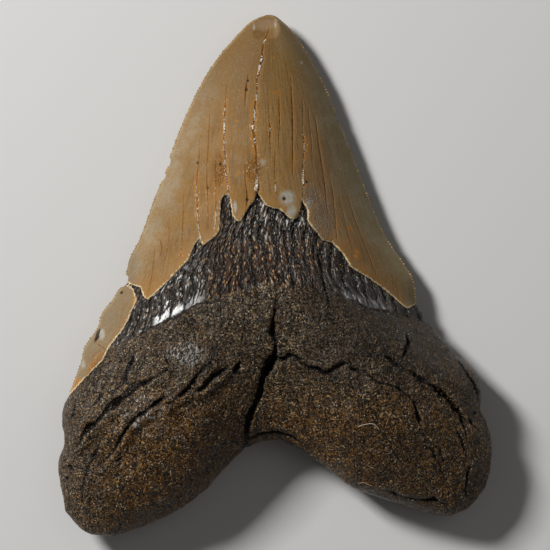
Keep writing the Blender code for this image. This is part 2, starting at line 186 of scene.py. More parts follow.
def nearest(place: Array, line: Array, reach: float) -> tuple[Array, Array]:
    """Measure from each place to a line of straight pieces.

    Args:
        place: Rows of x and y.
        line: Rows of x, y and any further values along the line.
        reach: Distance past which nothing is measured.

    Returns:
        The distance of each place, at most reach and below 0 right of the line, and the
        line's further values there.
    """
    best = np.full(len(place), reach)
    signed = best.copy()
    values = np.zeros((len(place), line.shape[1] - 2))
    low, high = line[:, :2].min(axis=0) - reach, line[:, :2].max(axis=0) + reach
    near = np.flatnonzero(((place > low) & (place < high)).all(axis=1))
    spots = place[near]
    for start, end in zip(line, line[1:]):
        step = end - start
        span = max(float(step[:2] @ step[:2]), 1e-9)
        share = np.clip((spots - start[:2]) @ step[:2] / span, 0.0, 1.0)
        off = spots - start[:2] - share[:, None] * step[:2]
        gap = np.linalg.norm(off, axis=1)
        closer = gap < best[near]
        best[near[closer]] = gap[closer]
        turn = step[0] * off[closer, 1] - step[1] * off[closer, 0]
        signed[near[closer]] = np.where(turn < 0.0, -gap[closer], gap[closer])
        values[near[closer]] = start[2:] + share[closer, None] * step[2:]
    return signed, values


# ---------------------------------------------------------------- the tooth's form
@dataclass(frozen=True)
class Outline:
    """The tooth seen from above, in outline units, and the growth lines across it."""

    crown_left: Points = (
        (-1.8, 70.0), (-5.3, 68.8), (-8.6, 66.2), (-16.7, 56.5), (-23.2, 44.6),
        (-28.3, 31.7), (-29.1, 28.7), (-32.3, 20.6), (-36.1, 10.1), (-38.8, 4.9),
        (-40.6, -1.3))
    shoulder_left: Points = (
        (-43.9, -7.1), (-46.4, -10.2), (-47.6, -14.2), (-51.0, -19.4), (-52.0, -23.7),
        (-55.0, -31.5))
    root_left: Points = (
        (-57.0, -37.2), (-56.5, -44.8), (-57.8, -49.1), (-58.0, -52.9), (-56.1, -63.4))
    crown_right: Points = (
        (-1.8, 70.0), (0.9, 69.1), (6.0, 63.7), (12.5, 52.4), (17.6, 40.3), (21.7, 29.8),
        (25.4, 20.0), (29.8, 10.1), (36.8, -0.7), (37.9, -7.8))
    root_right: Points = (
        (39.4, -10.5), (39.8, -12.1), (42.5, -14.5), (47.9, -20.5), (54.6, -27.7),
        (55.1, -36.1), (57.0, -40.4), (58.1, -45.6), (57.8, -51.0), (56.5, -56.1),
        (54.3, -59.9))
    underside: Points = (
        (-56.1, -63.4), (-51.0, -68.8), (-43.9, -70.0), (-37.7, -68.2), (-31.0, -65.5),
        (-24.0, -61.8), (-18.8, -57.7), (-14.5, -52.9), (-7.2, -46.0), (-1.3, -44.2),
        (3.0, -44.9), (7.4, -47.0), (13.3, -51.2), (19.5, -56.1), (26.3, -59.1),
        (33.8, -61.6), (41.4, -63.9), (46.5, -64.5), (51.1, -62.8), (54.3, -59.9))
    bow: float = 16.2
    bow_powers: tuple[float, float] = (1.3, 1.6)
    lobe_pull: float = 2.0
    crown_ends: tuple[float, float] = (0.782, 0.598)

    def plan(self, across: Array, down: Array) -> Array:
        """Place the points of the growth grid.

        Args:
            across: 0 at the left edge to 1 at the right.
            down: 0 at the tip to 1 at the root's lower rim.

        Returns:
            Rows of x and y.
        """
        left = along(self.crown_left + self.shoulder_left + self.root_left, down)
        right = along(self.crown_right + self.root_right, down)
        under = along(self.underside, across)
        share = across[:, None]
        ends = np.array(self.underside)[[0, -1]]
        place = (1.0 - share) * left + share * right
        chord = (1.0 - share) * ends[0] + share * ends[1]
        place += (down ** self.lobe_pull)[:, None] * (under - chord)
        lengthwise, sideways = self.bow_powers
        rise = 1.0 - np.abs(2.0 * across - 1.0) ** sideways
        place[:, 1] += self.bow * (np.sin(math.pi * down) ** lengthwise * rise)
        return place


@dataclass(frozen=True)
class Relief:
    """Heights of the two faces along the growth lines, in outline units."""

    rim_height: Points = (
        (0.0, 5.0), (0.3, 4.3), (0.5, 4.8), (0.62, 6.6), (0.72, 8.4), (1.0, 9.0))
    lingual: Points = (
        (0.0, 2.4), (0.03, 3.3), (0.08, 4.6), (0.16, 6.8), (0.28, 9.2), (0.4, 11.2),
        (0.5, 12.2), (0.56, 12.2), (0.61, 12.6), (0.67, 14.8), (0.75, 17.2),
        (0.84, 16.6), (0.93, 14.0), (1.0, 12.0))
    labial: Points = (
        (0.0, 1.2), (0.05, 1.8), (0.15, 3.0), (0.3, 4.0), (0.4, 4.2), (0.5, 4.3),
        (0.6, 5.2), (0.72, 7.2), (0.84, 8.9), (1.0, 9.4))
    tip_rounding: float = 0.04
    end_rounding: float = 0.16
    end_power: float = 2.2
    crown_section: tuple[float, float] = (2.0, 0.95)
    root_section: tuple[float, float] = (3.0, 0.55)
    section_change: tuple[float, float] = (0.5, 0.8)
    lobe_crest: float = 1.6
    labial_crest: float = 1.3
    lobe_place: float = 0.52
    lobe_spread: float = 0.24
    arch_saddle: float = 2.2
    labial_hollow: float = 2.4
    saddle_spread: float = 0.3
    lobe_onset: tuple[float, float] = (0.72, 0.95)
    lump_height: float = 0.55
    lump_spacing: float = 9.0
    lump_onset: tuple[float, float] = (0.55, 0.72)
    enamel_front: float = 0.8
    enamel_back: float = 0.5

    def section(self, across: Array, down: Array) -> Array:
        """Give the fullness of the cross-section, 1 on the crest and 0 at the rim.

        Args:
            across: 0 at the left edge to 1 at the right.
            down: 0 at the tip to 1 at the root.

        Returns:
            The fullness.
        """
        side = np.abs(2.0 * across - 1.0)
        root = ease(down, *self.section_change)
        power = blend(self.crown_section[0], self.root_section[0], root)
        shape = blend(self.crown_section[1], self.root_section[1], root)
        tip = np.clip(down / self.tip_rounding, 0.0, 1.0)
        end = np.clip((down - 1.0 + self.end_rounding) / self.end_rounding, 0.0, 1.0)
        ends = np.sqrt(tip * (1.0 - end ** self.end_power))
        return ends * np.maximum(1.0 - side ** power, 0.0) ** shape

    def lumps(self, place: Array) -> Array:
        """Give the soft uneven lumps of the root at each place."""
        spots = [Vector((x, y, 0.0)) / self.lump_spacing for x, y in place]
        return np.array([noise.noise(spot) + 0.5 * noise.noise(2.0 * spot) for spot in spots])

    def heights(self, face: Face, place: Array, across: Array, down: Array,
                enamel: Array) -> Array:
        """Give one face's heights.

        Args:
            face: Which face.
            place: Rows of x and y.
            across: The same points' across.
            down: The same points' down.
            enamel: 1 where the enamel covers the point and 0 where it is gone.

        Returns:
            The heights.
        """
        side = 2.0 * across - 1.0
        full = self.section(across, down)
        lobes = ease(down, *self.lobe_onset)
        crest = hump(np.abs(side), self.lobe_place, self.lobe_spread)
        saddle = hump(side, 0.0, self.saddle_spread)
        uneven = self.lump_height * self.lumps(place) * ease(down, *self.lump_onset)
        rim = profile(self.rim_height, down)
        if face is Face.LINGUAL:
            rise = profile(self.lingual, down) + uneven
            rise += lobes * (self.lobe_crest * crest - self.arch_saddle * saddle)
            return rim + (rise + enamel * self.enamel_front) * full
        drop = profile(self.labial, down) + uneven
        drop += lobes * (self.labial_crest * crest - self.labial_hollow * saddle)
        return rim - (drop + enamel * self.enamel_back) * full


@dataclass(frozen=True)
class EnamelEdge:
    """The jagged lines along which the enamel has broken away from the root."""

    base: Points = (
        (-40.6, -1.6), (-37.7, -2.9), (-36.1, -3.3), (-34.8, -6.3), (-33.7, -6.5),
        (-30.2, -3.3), (-26.1, 0.9), (-22.9, 4.3), (-21.5, 8.0), (-20.2, 9.7),
        (-19.1, 7.9), (-15.9, 10.2), (-14.8, 11.7), (-14.4, 19.8), (-13.4, 21.3),
        (-12.2, 21.0), (-11.3, 15.7), (-10.2, 14.4), (-9.0, 14.4), (-6.7, 18.3),
        (-5.6, 19.5), (-4.7, 21.7), (-3.4, 19.9), (-2.2, 18.2), (1.1, 17.5),
        (4.1, 14.8), (5.7, 14.9), (6.5, 16.8), (7.2, 19.8), (8.7, 17.3), (8.6, 14.4),
        (11.4, 10.9), (12.8, 9.1), (15.2, 8.7), (18.2, 5.5), (20.3, 2.0), (25.2, -0.9),
        (29.5, -4.0), (33.8, -7.8), (35.4, -9.0), (37.9, -7.8))
    tab: Points = (
        (-40.4, -2.1), (-38.0, -3.6), (-36.9, -6.8), (-40.2, -14.1), (-43.9, -18.8),
        (-46.1, -22.9), (-48.3, -25.0), (-55.0, -32.1))
    labial: Points = (
        (-55.0, -32.1), (-44.5, -23.7), (-31.0, -17.2), (-16.1, -12.9), (-3.4, -11.3),
        (9.5, -11.8), (23.0, -11.8), (32.5, -10.2), (37.9, -7.8))
    trim_reach: float = 80.0
    measured: float = 14.0
    labial_wave: float = 0.9
    wave_scale: float = 0.35
    wave_middle: float = -8.0
    wave_spread: float = 38.0

    def border(self, face: Face, place: Array) -> Array:
        """Measure to the enamel's edge.

        Args:
            face: Which face.
            place: Rows of x and y.

        Returns:
            Distance to the edge, above 0 on enamel and below 0 where it is gone.
        """
        reach = self.trim_reach
        right = ((reach, self.base[-1][1]), (reach, -reach))
        left = ((-reach, -reach), (-reach, self.tab[-1][1]))
        if face is Face.LINGUAL:
            lines = (np.array(self.base), np.array(self.tab))
            corners = np.array(self.base + right + left + self.tab[::-1])
        else:
            lines = (self.wavy_labial(),)
            corners = np.vstack([lines[0], right, left])
        gaps = [np.abs(nearest(place, line, self.measured)[0]) for line in lines]
        gap = np.min(gaps, axis=0)
        return np.where(inside(place, corners), -gap, gap)

    def wavy_labial(self) -> Array:
        """Give the labial line with small chips along it.

        Returns:
            Rows of x and y.
        """
        line = smooth_curve(self.labial, 8)
        waves = [noise.noise(Vector((x, y, 3.0)) * self.wave_scale) for x, y in line]
        fade = hump(line[:, 0], self.wave_middle, self.wave_spread)
        line[:, 1] += self.labial_wave * np.array(waves) * fade
        return line


# ---------------------------------------------------------------- cracks, veins, spots
@dataclass(frozen=True)
class Line:
    """One crack of the root or vein of the crown, laid along the lingual face.

    Points hold x, y and width, and for a vein also how much mineral fills it and how
    strongly the enamel beside it is stained.
    """

    mark: Mark
    depth: float
    lip: float
    points: Points

    def path(self) -> Array:
        """Give the line's smooth path."""
        return smooth_curve(self.points, 4)


def crack(depth: float, lip: float, *points: tuple[float, ...]) -> Line:
    """Describe an open crack, its depth to a unit of width and how far its lip stands up."""
    return Line(Mark.CRACK, depth, lip, points)


def vein(*points: tuple[float, ...]) -> Line:
    """Describe a mineral-filled crack of the crown, VEIN_DEPTH deep to a unit of half width."""
    return Line(Mark.VEIN, VEIN_DEPTH, 0.0, points)


@dataclass(frozen=True)
class Blot:
    """A soft oval spot on the tooth."""

    stain: Stain
    x: float
    y: float
    width: float
    length: float
    fade: tuple[float, float] = (0.45, 1.15)

    def strength(self, place: Array) -> Array:
        """Give the spot's strength at each place, 0 to 1."""
        gap = np.hypot((place[:, 0] - self.x) / self.width, (place[:, 1] - self.y) / self.length)
        return 1.0 - ease(gap, *self.fade)


LINES = (
    # the central split, the cross crack and its spur
    crack(1.6, 0, (0.1, -7.8, 0.38), (0, -9.7, 0.7), (-0.4, -11.5, 0.81), (-0.3, -12.9, 1.08),
        (-0.7, -14.8, 1.46), (-0.3, -16.4, 1.08), (0.2, -18, 0.86), (0.1, -20.2, 0.92),
        (-0.3, -21.8, 2.16), (-1.1, -23.4, 2.97), (-2, -25.3, 2.43), (-3, -27.2, 1.89),
        (-3.6, -29.4, 1.35), (-4, -31.5, 1.46), (-4.7, -33.7, 1.24), (-5.8, -35.8, 1.51),
        (-6.8, -38.3, 1.73), (-7.3, -40.4, 1.24), (-7.5, -42.6, 1.08), (-7.8, -47.5, 1.08)),
    crack(1.3, 0.2, (0.9, -22.3, 0.81), (2.5, -22.2, 0.92), (4.1, -21.2, 0.97), (5.5, -21.8, 0.81),
        (7.1, -23.4, 0.81), (9.2, -24.5, 0.92), (11.4, -25, 1.08), (13.6, -26.1, 1.08),
        (15.5, -25, 1.08), (17.1, -24.2, 0.81), (18.2, -23.4, 0.43)),
    crack(1.2, 0, (20, -25, 0.38), (21.1, -25, 1.08), (22.2, -25.5, 0.65)),
    # the inner and the outer arc of the right lobe
    crack(1.1, 0, (24.1, -25.9, 0.32), (25.7, -27.4, 0.65), (27.1, -28.3, 0.43),
        (28.7, -28.7, 0.43), (30.3, -29.1, 0.65), (31.9, -29.6, 0.65), (33, -30.4, 0.81),
        (34.4, -31.5, 0.43), (36, -32.6, 0.32)),
    crack(1.4, 0.2, (36.5, -32.9, 0.32), (37.2, -34.5, 0.7), (37.8, -36.4, 0.7),
        (38.2, -38.3, 1.19), (38.4, -39.6, 0.49)),
    crack(1.2, 0, (26.8, -21.5, 0.24), (28.7, -21.4, 0.32), (30, -21.9, 0.7), (31, -22.8, 0.97),
        (32.1, -23.7, 0.92), (33.3, -24.4, 0.65), (34.4, -24.9, 0.27)),
    crack(1.3, 0.2, (35.2, -25.3, 0.27), (37.3, -26.5, 0.81), (39.2, -27.9, 0.81),
        (40.8, -29, 0.54), (41.9, -29.6, 0.97), (43, -30.7, 1.13), (44.6, -31.7, 0.92),
        (45.8, -32.9, 0.97), (47, -34.2, 0.92), (48.4, -36, 0.97), (49.5, -37.7, 0.86),
        (50.1, -39.6, 0.59), (50.7, -41.5, 0.38), (50.9, -43.1, 0.22)),
    crack(0.9, 0, (46.8, -38.8, 0.22), (48.3, -41.2, 0.3), (49.2, -43.1, 0.54), (49.9, -45, 0.41),
        (50.5, -46.6, 0.41), (50.9, -48.3, 0.24)),
    crack(1.1, 0, (51.8, -51.2, 0.27), (51.5, -52.9, 0.81), (51.2, -54.5, 0.54),
        (50.9, -56.9, 0.32), (51.1, -59.3, 0.27)),
    # rim, shoulder, toe and scars of the right lobe
    crack(1.2, 0, (48.9, -22.9, 0.24), (50.3, -24.8, 0.43), (51.6, -27, 0.7), (52.7, -28.6, 0.7),
        (53.5, -30.2, 0.92), (54.2, -31.8, 0.65), (54.3, -33.7, 0.27)),
    crack(1, 0, (51, -36.9, 0.22), (52.2, -39.2, 0.54), (53.7, -41, 0.32)),
    crack(1.2, 0, (35.1, -15.6, 0.22), (35.4, -17.8, 0.97), (35, -19.4, 0.76), (34.4, -20.9, 0.65),
        (33.7, -22.3, 0.27)),
    crack(1, 0.5, (29.8, -57.4, 0.22), (31.7, -58, 0.54), (33.5, -58.7, 0.27), (36, -59.4, 0.43),
        (38.1, -59.9, 0.32), (40.3, -60.1, 0.81), (42.5, -59.9, 0.92), (44.1, -60.6, 0.38),
        (46.2, -61.2, 0.22)),
    crack(0.7, 0, (40.6, -44.8, 0.22), (41.9, -47.2, 0.32), (43.5, -50.2, 0.38),
        (44.9, -53.4, 0.22)),
    crack(0.7, 0, (43.6, -45.8, 0.22), (44.3, -47.7, 0.49), (44.8, -49.3, 0.27)),
    # furrows of the left lobe
    crack(1, 0.2, (-28.3, -25, 0.22), (-30.2, -26.2, 0.54), (-31.5, -27.1, 0.38),
        (-33.1, -27.6, 0.65), (-34.5, -28.4, 1.08), (-36.1, -29.4, 0.86), (-37.3, -30.4, 0.81),
        (-38.7, -31.7, 0.92), (-39.9, -32.9, 0.81)),
    crack(0.75, 0.9, (-40.4, -33.1, 1.46), (-42.1, -34, 2.16), (-43.7, -35, 1.89),
        (-44.9, -36.4, 1.24), (-46.1, -37.7, 1.24), (-47.2, -39.2, 0.97), (-48.4, -39.9, 1.46),
        (-49.9, -41, 1.51), (-50.8, -42.3, 0.81), (-51.8, -44.1, 0.54), (-52.6, -45.8, 0.32)),
    crack(0.9, 0.3, (-33.7, -28.8, 0.24), (-36.1, -28.4, 0.27), (-38.3, -29.9, 0.38),
        (-40.7, -32, 0.43), (-42.6, -33.4, 0.38)),
    crack(1.1, 0.8, (-12.4, -24.5, 0.32), (-14.1, -25.6, 0.76), (-15.9, -26.8, 0.97),
        (-17.3, -28, 0.81), (-18.6, -29.2, 0.97), (-19.9, -30.1, 0.92), (-20.9, -30.4, 0.32)),
    crack(1.1, 0.9, (-17.5, -23.7, 0.27), (-19.2, -24.9, 0.49), (-20.6, -26.7, 0.7),
        (-21.6, -28.6, 1.13), (-22.8, -30, 1.08), (-24, -31.1, 1.13), (-25.2, -31.8, 0.81),
        (-26.5, -32.8, 0.38), (-28, -34.2, 0.27)),
    crack(1.2, 0.8, (-26.7, -31.1, 0.24), (-28.8, -32.3, 0.43), (-30.4, -33.3, 0.92),
        (-31.6, -34.1, 1.19), (-33.1, -35.1, 0.54), (-34.4, -36.2, 0.86), (-35.8, -37.1, 0.81),
        (-37.4, -38.4, 0.86), (-38.5, -39.6, 0.86), (-39.6, -41.2, 0.92), (-40.5, -42.6, 0.81),
        (-41.4, -44.1, 0.7), (-42.3, -45.7, 0.65), (-43.3, -47.3, 0.32), (-44.8, -49.1, 0.32),
        (-46.2, -50.7, 0.24)),
    crack(1, 0.6, (-45.5, -42.3, 0.27), (-46.2, -44.4, 0.43), (-47.2, -46.1, 0.49),
        (-47.9, -47.9, 0.92), (-48.5, -49.2, 0.49), (-49.5, -51, 0.65), (-50.3, -52.6, 0.65),
        (-50.7, -54.5, 0.49), (-51.1, -57.2, 0.27), (-51.5, -61, 0.22)),
    crack(0.8, 0.3, (-37.6, -21.5, 0.43), (-38, -22.9, 1.24), (-38.7, -24.2, 1.24),
        (-39.5, -26.1, 0.81), (-39.9, -28, 1.08), (-40.9, -29.4, 0.54), (-42.3, -30.7, 0.65),
        (-43.2, -31.8, 0.32)),
    # scars, hollows and patch edges of the left lobe
    crack(0.8, 0, (-53.2, -34.5, 0.24), (-53.7, -36.1, 0.54), (-54.3, -38.3, 0.27)),
    crack(0.8, 0, (-45.8, -32, 0.32), (-46.9, -32.9, 0.7), (-48.3, -34.5, 0.32)),
    crack(0.8, 0.4, (-30, -19.1, 0.24), (-29.3, -20.7, 0.38), (-28.7, -22.6, 0.43),
        (-28, -24.2, 0.24)),
    crack(0.8, 0, (-16.5, -18.8, 0.22), (-16.7, -21, 0.32), (-17.1, -23.2, 0.32),
        (-17.9, -24.8, 0.22)),
    crack(1.1, 0, (-11.3, -26.1, 0.32), (-10.3, -25.3, 0.81), (-9.8, -24.2, 1.24),
        (-9.4, -23.4, 0.38)),
    crack(0.9, 0, (-11.5, -26.7, 0.24), (-9.4, -26, 0.38), (-7.2, -25.5, 0.32),
        (-5.6, -25.9, 0.24)),
    # cracks of the neck
    crack(1.2, 0, (11.3, 6.5, 0.43), (11.8, 4.4, 0.65), (12.3, 2.2, 0.43), (12.9, -0.5, 0.65),
        (13.4, -2.9, 0.59), (14, -5.1, 0.54), (14.1, -8, 0.32), (13.8, -11.3, 0.27)),
    crack(0.8, 0, (4.4, 14.1, 0.27), (4.5, 9.2, 0.38), (4.4, 4.4, 0.38), (4.7, 0.1, 0.54),
        (4.8, -4.3, 0.27)),
    crack(0.8, 0, (-4.3, 17.9, 0.27), (-4.1, 12.5, 0.49), (-4.3, 6.5, 0.27)),
    crack(0.7, 0, (0.6, 14.1, 0.24), (0.7, 9.8, 0.49), (1, 6.5, 0.38), (1.6, 2.2, 0.32),
        (1.7, -1.6, 0.27)),
    crack(0.7, 0, (-9.4, 5.5, 0.27), (-9.3, 1.7, 0.32), (-9.1, -1.6, 0.27), (-8.7, -5.9, 0.24),
        (-8.1, -11.8, 0.32), (-7.6, -17.8, 0.22)),
    crack(0.7, 0, (-14.6, 7.6, 0.24), (-14.8, 3.8, 0.49), (-14.4, -0.5, 0.32), (-14.5, -4.3, 0.27),
        (-14.2, -10.2, 0.27), (-14.1, -15.1, 0.19)),
    crack(0.6, 0, (-7, 10.3, 0.22), (-7.1, 6, 0.38), (-7.1, 1.1, 0.32), (-7, -2.6, 0.22)),
    crack(0.6, 0, (8.2, 4.9, 0.22), (8.1, 1.7, 0.38), (8.4, -1.6, 0.32), (8.7, -4.8, 0.22)),
    crack(0.6, 0, (16.5, 3.3, 0.22), (17.6, 0.6, 0.38), (18.6, -2.6, 0.32), (19, -4.8, 0.22)),
    crack(0.6, 0, (0.1, -3.7, 0.22), (0.2, -5.9, 0.27), (0.1, -8, 0.32)),
    # the arch's lip, the shadow under the enamel and the band's lower margin
    crack(0.9, 0.4, (-6.7, -43.9, 0.54), (-5.1, -42.9, 0.81), (-3.4, -42.3, 0.86),
        (-1.3, -41.9, 0.81), (1.4, -42.1, 0.81), (4.1, -42.9, 0.65), (6.8, -44.5, 0.38)),
    crack(0.8, 0, (-1.8, 17.6, 0.22), (0.3, 17.2, 0.43), (2.2, 16.1, 0.59), (3.7, 14.6, 0.54),
        (5.4, 13.4, 0.65), (6, 15.2, 0.27)),
    crack(0.8, 0, (-36.4, -16.4, 0.2), (-33.7, -14.5, 0.3), (-30.5, -12.8, 0.4), (-27, -11.4, 0.4),
        (-23.9, -9.6, 0.4), (-20.7, -7.7, 0.35), (-17, -7.2, 0.25)),
    crack(0.8, 0, (16, -5, 0.2), (20.3, -6.6, 0.35), (24.4, -8.6, 0.4), (29, -9.6, 0.4),
        (33.5, -11.2, 0.3)),
    # lines across the smooth strips of the band
    crack(0.9, 0, (-26.1, -5.9, 0.24), (-27, -8.3, 0.43), (-28, -11.3, 0.43)),
    crack(0.9, 0, (-22.2, -2.6, 0.24), (-23.3, -5.9, 0.43), (-24.2, -9.4, 0.38)),
    crack(0.9, 0, (-20.3, -1.6, 0.24), (-21, -4.5, 0.49), (-21.9, -7.5, 0.38)),
    crack(0.9, 0, (-29.2, -9.1, 0.24), (-30.2, -10.7, 0.7), (-30.7, -12.1, 0.27)),
    crack(0.7, 0, (20.6, -1.6, 0.22), (21.4, -4.3, 0.32), (22.2, -7.2, 0.24)),
    crack(0.7, 0, (23, -2.6, 0.22), (24.1, -5.3, 0.38), (24.9, -8, 0.24)),
    # the four long cracks of the crown
    vein((-1.6, 65.9, 0.27, 0, 0.2), (-2.2, 64.1, 0.32, 0, 0.3), (-2.8, 62.4, 0.38, 0.9, 0.3),
        (-3.2, 60.8, 0.32, 0.3, 0.4), (-3.4, 59.5, 0.41, 0.2, 0.4), (-3.4, 57.8, 0.57, 1, 0.4),
        (-3.8, 56.5, 0.51, 0.8, 0.5), (-4.3, 54.3, 0.51, 0.9, 0.4), (-4.7, 52.4, 0.38, 0.4, 0.5),
        (-4.7, 50.3, 0.35, 0.4, 0.6), (-4.8, 47.6, 0.41, 0.8, 0.6), (-5.3, 45.4, 0.41, 0.5, 0.9),
        (-5.3, 42.7, 0.54, 0.9, 1), (-5.6, 40.8, 0.49, 0.6, 0.9), (-6, 39.2, 0.76, 1, 0.8),
        (-5.6, 37.6, 0.43, 0.5, 0.8), (-5.3, 35.4, 0.41, 0.8, 0.8), (-5, 33, 0.35, 0.3, 0.9),
        (-4.9, 29.8, 0.35, 0.3, 1), (-4.7, 27.3, 0.43, 0.6, 1), (-4.7, 24.9, 0.54, 0.9, 1),
        (-4.7, 23, 0.97, 1, 0.8), (-4.7, 21.7, 0.65, 0.2, 0.5), (-4.7, 20, 0.65, 0.6, 0.3)),
    vein((-12.9, 50.8, 0.16, 0, 0.2), (-13.1, 48.1, 0.19, 0, 0.4), (-13.3, 45.4, 0.3, 0.6, 0.7),
        (-13.4, 43, 0.32, 0.75, 0.8), (-13.5, 41.1, 0.32, 0.75, 0.8), (-13.4, 39.2, 0.49, 1, 0.8),
        (-13.6, 37.1, 0.32, 0.7, 0.8), (-13.5, 33.5, 0.32, 0.75, 0.8),
        (-13.3, 30.3, 0.32, 0.75, 1), (-13.1, 27.1, 0.32, 0.75, 1), (-12.6, 23.8, 0.35, 0.8, 0.9),
        (-12.4, 20.6, 0.43, 0.8, 0.5)),
    vein((-20.2, 33.5, 0.16, 0, 0.3), (-20.5, 29.8, 0.22, 0.1, 0.4), (-20.7, 27.1, 0.24, 0.4, 0.6),
        (-20.9, 24.4, 0.27, 0.6, 1), (-20.8, 21.1, 0.27, 0.7, 1), (-20.7, 17.3, 0.3, 0.8, 0.9),
        (-20.5, 14.1, 0.32, 0.9, 0.8), (-20.1, 11.4, 0.32, 0.9, 0.5),
        (-19.6, 9.2, 0.32, 0.9, 0.3)),
    vein((7.4, 47, 0.16, 0, 0.2), (7.6, 43.3, 0.22, 0, 0.3), (7.5, 38.9, 0.24, 0.3, 0.4),
        (7.8, 35.7, 0.3, 0.6, 0.5), (7.9, 33.5, 0.35, 0.8, 0.7), (7.6, 30.8, 0.24, 0.3, 0.6),
        (7.5, 27.9, 0.32, 0.7, 0.4), (7.7, 25.4, 0.51, 1, 0.4), (7.5, 22.7, 0.27, 0.7, 0.3),
        (7.4, 20.3, 0.27, 0.7, 0.2)),
    # threads of the crown
    vein((1.1, 47.3, 0.16, 0, 0.2), (1.2, 44.3, 0.3, 0, 0.5), (1.3, 40.6, 0.3, 0.1, 0.5),
        (1.1, 36.8, 0.24, 0, 0.4), (1.1, 33.8, 0.16, 0, 0.2)),
    vein((-1.6, 46, 0.14, 0, 0.3), (-1.5, 41.1, 0.19, 0.1, 0.4), (-1.3, 38.9, 0.41, 0.8, 1),
        (-1.3, 35.7, 0.3, 0, 0.4), (-1.1, 31.7, 0.16, 0, 0.2)),
    vein((0.1, 32.5, 0.19, 0, 0.5), (-0.1, 28.7, 0.22, 0.1, 0.2), (0.1, 25.4, 0.27, 0.4, 0.1),
        (0.2, 23.3, 0.32, 0.9, 0.1), (0.3, 20.3, 0.22, 0.5, 0.1)),
    vein((4.3, 53.5, 0.14, 0, 0.6), (4.5, 49.2, 0.2, 0, 0.5), (4.7, 44.3, 0.41, 0, 0.3),
        (4.8, 39.5, 0.41, 0, 0.4), (4.8, 35.2, 0.3, 0, 0.3), (4.8, 30.8, 0.32, 0, 0.9),
        (4.7, 26.8, 0.16, 0, 0.3)),
    vein((9, 45.4, 0.16, 0, 0.1), (9.2, 41.6, 0.24, 0, 0.1), (9.8, 35.7, 0.22, 0, 0.2),
        (10.1, 30.8, 0.16, 0, 0.1)),
    vein((10.9, 42.2, 0.22, 0, 0.1), (11.5, 36.8, 0.3, 0, 0.1), (12.2, 32.2, 0.32, 0.1, 0.2),
        (12.8, 28.1, 0.3, 0.3, 0.2), (13.4, 23.8, 0.3, 0.3, 0.1), (13.8, 19.5, 0.24, 0.1, 0.2),
        (14.4, 14.1, 0.19, 0, 0.2)),
    vein((-17.5, 42.7, 0.16, 0, 0.2), (-17.7, 37.9, 0.22, 0, 0.3), (-18, 31.9, 0.22, 0, 0.4),
        (-18.2, 27.6, 0.22, 0, 0.5), (-18.1, 23.3, 0.27, 0.1, 0.6), (-17.9, 19.5, 0.22, 0.4, 0.7),
        (-17.8, 12.5, 0.16, 0, 0.4)),
    vein((-7.2, 53.5, 0.16, 0, 0.3), (-7.5, 51.4, 0.24, 0, 0.2), (-7.8, 49.2, 0.38, 0, 0.1),
        (-8, 44.9, 0.14, 0, 0.2)),
    vein((-7.9, 29, 0.19, 0, 0.4), (-8, 26, 0.27, 0, 0.3), (-7.6, 23.3, 0.3, 0.1, 0.4),
        (-7.4, 20.3, 0.38, 0, 0.3), (-7.8, 16.8, 0.19, 0, 0.4)),
    vein((14.6, 27.6, 0.19, 0, 0.3), (15.3, 23.3, 0.24, 0, 0.4), (15.9, 18.4, 0.24, 0, 0.4),
        (16.3, 13, 0.27, 0, 0.6), (16.6, 9.2, 0.19, 0, 0.5)),
    vein((16.8, 23.8, 0.14, 0, 0.1), (17.9, 18.4, 0.19, 0, 0.1), (19.1, 13, 0.19, 0, 0.1),
        (20.6, 7.1, 0.16, 0, 0.2)),
    vein((19.6, 21.7, 0.16, 0, 0.2), (20.9, 16.8, 0.22, 0, 0.3), (22.5, 12.2, 0.22, 0, 0.4),
        (24.1, 8.2, 0.24, 0, 0.3), (25.7, 3.8, 0.22, 0, 0.2), (27.3, -0.5, 0.16, 0, 0.2)),
    vein((32.2, -1.3, 0.16, 0, 0), (32.9, -4, 0.24, 0, 0), (33.4, -6.7, 0.16, 0, 0)),
    vein((-30.7, 9.2, 0.24, 0, 0), (-30.3, 7.1, 0.22, 0, 0), (-30.7, 4.9, 0.16, 0, 0)),
    vein((-32.1, 7.6, 0.16, 0, 0.1), (-32.5, 3.3, 0.22, 0, 0.1), (-33.1, -1, 0.22, 0, 0.2),
        (-34, -5.3, 0.16, 0, 0.4)),
    vein((-28.3, 14.1, 0.14, 0, 0.3), (-28.4, 9.8, 0.19, 0, 0.5), (-29.1, 5.5, 0.19, 0, 0.5),
        (-30.2, 1.1, 0.16, 0, 0.4)),
    vein((-24.5, 21.1, 0.14, 0, 0.1), (-24.6, 15.7, 0.19, 0, 0.3), (-24.8, 9.8, 0.24, 0.6, 0.5),
        (-25.2, 4.9, 0.19, 0.5, 0.7)),
    vein((-15.9, 31.4, 0.14, 0, 0.6), (-15.8, 26.5, 0.19, 0.1, 0.9), (-15.7, 21.1, 0.19, 0.1, 0.9),
        (-15.7, 16.3, 0.32, 0.9, 0.8), (-16, 12.5, 0.27, 0.8, 0.8)),
    # the tab at the left shoulder
    crack(0.9, 0, (-47, -14.6, 0.3), (-47.4, -15.6, 0.8), (-47.8, -16.6, 0.9),
        (-48.3, -17.8, 0.3)),
    vein((-47.8, -18.2, 0.16, 0, 0.2), (-46.4, -19, 0.24, 0, 0.3), (-44.9, -19.9, 0.16, 0, 0.2)),
    vein((-50.2, -25.6, 0.16, 0, 0.6), (-47.9, -22.9, 0.26, 0, 0.9), (-45.6, -20.6, 0.16, 0, 0.6)),
    vein((-51.6, -28.6, 0.16, 0, 0.6), (-49, -25.2, 0.26, 0.1, 0.5), (-46.4, -22.4, 0.16, 0, 0.5)),
    vein((-49.6, -23.4, 0.14, 0, 0.2), (-48.2, -21.2, 0.2, 0, 0.4), (-46.6, -19.9, 0.14, 0, 0.2)),
    # a filled seam of the band
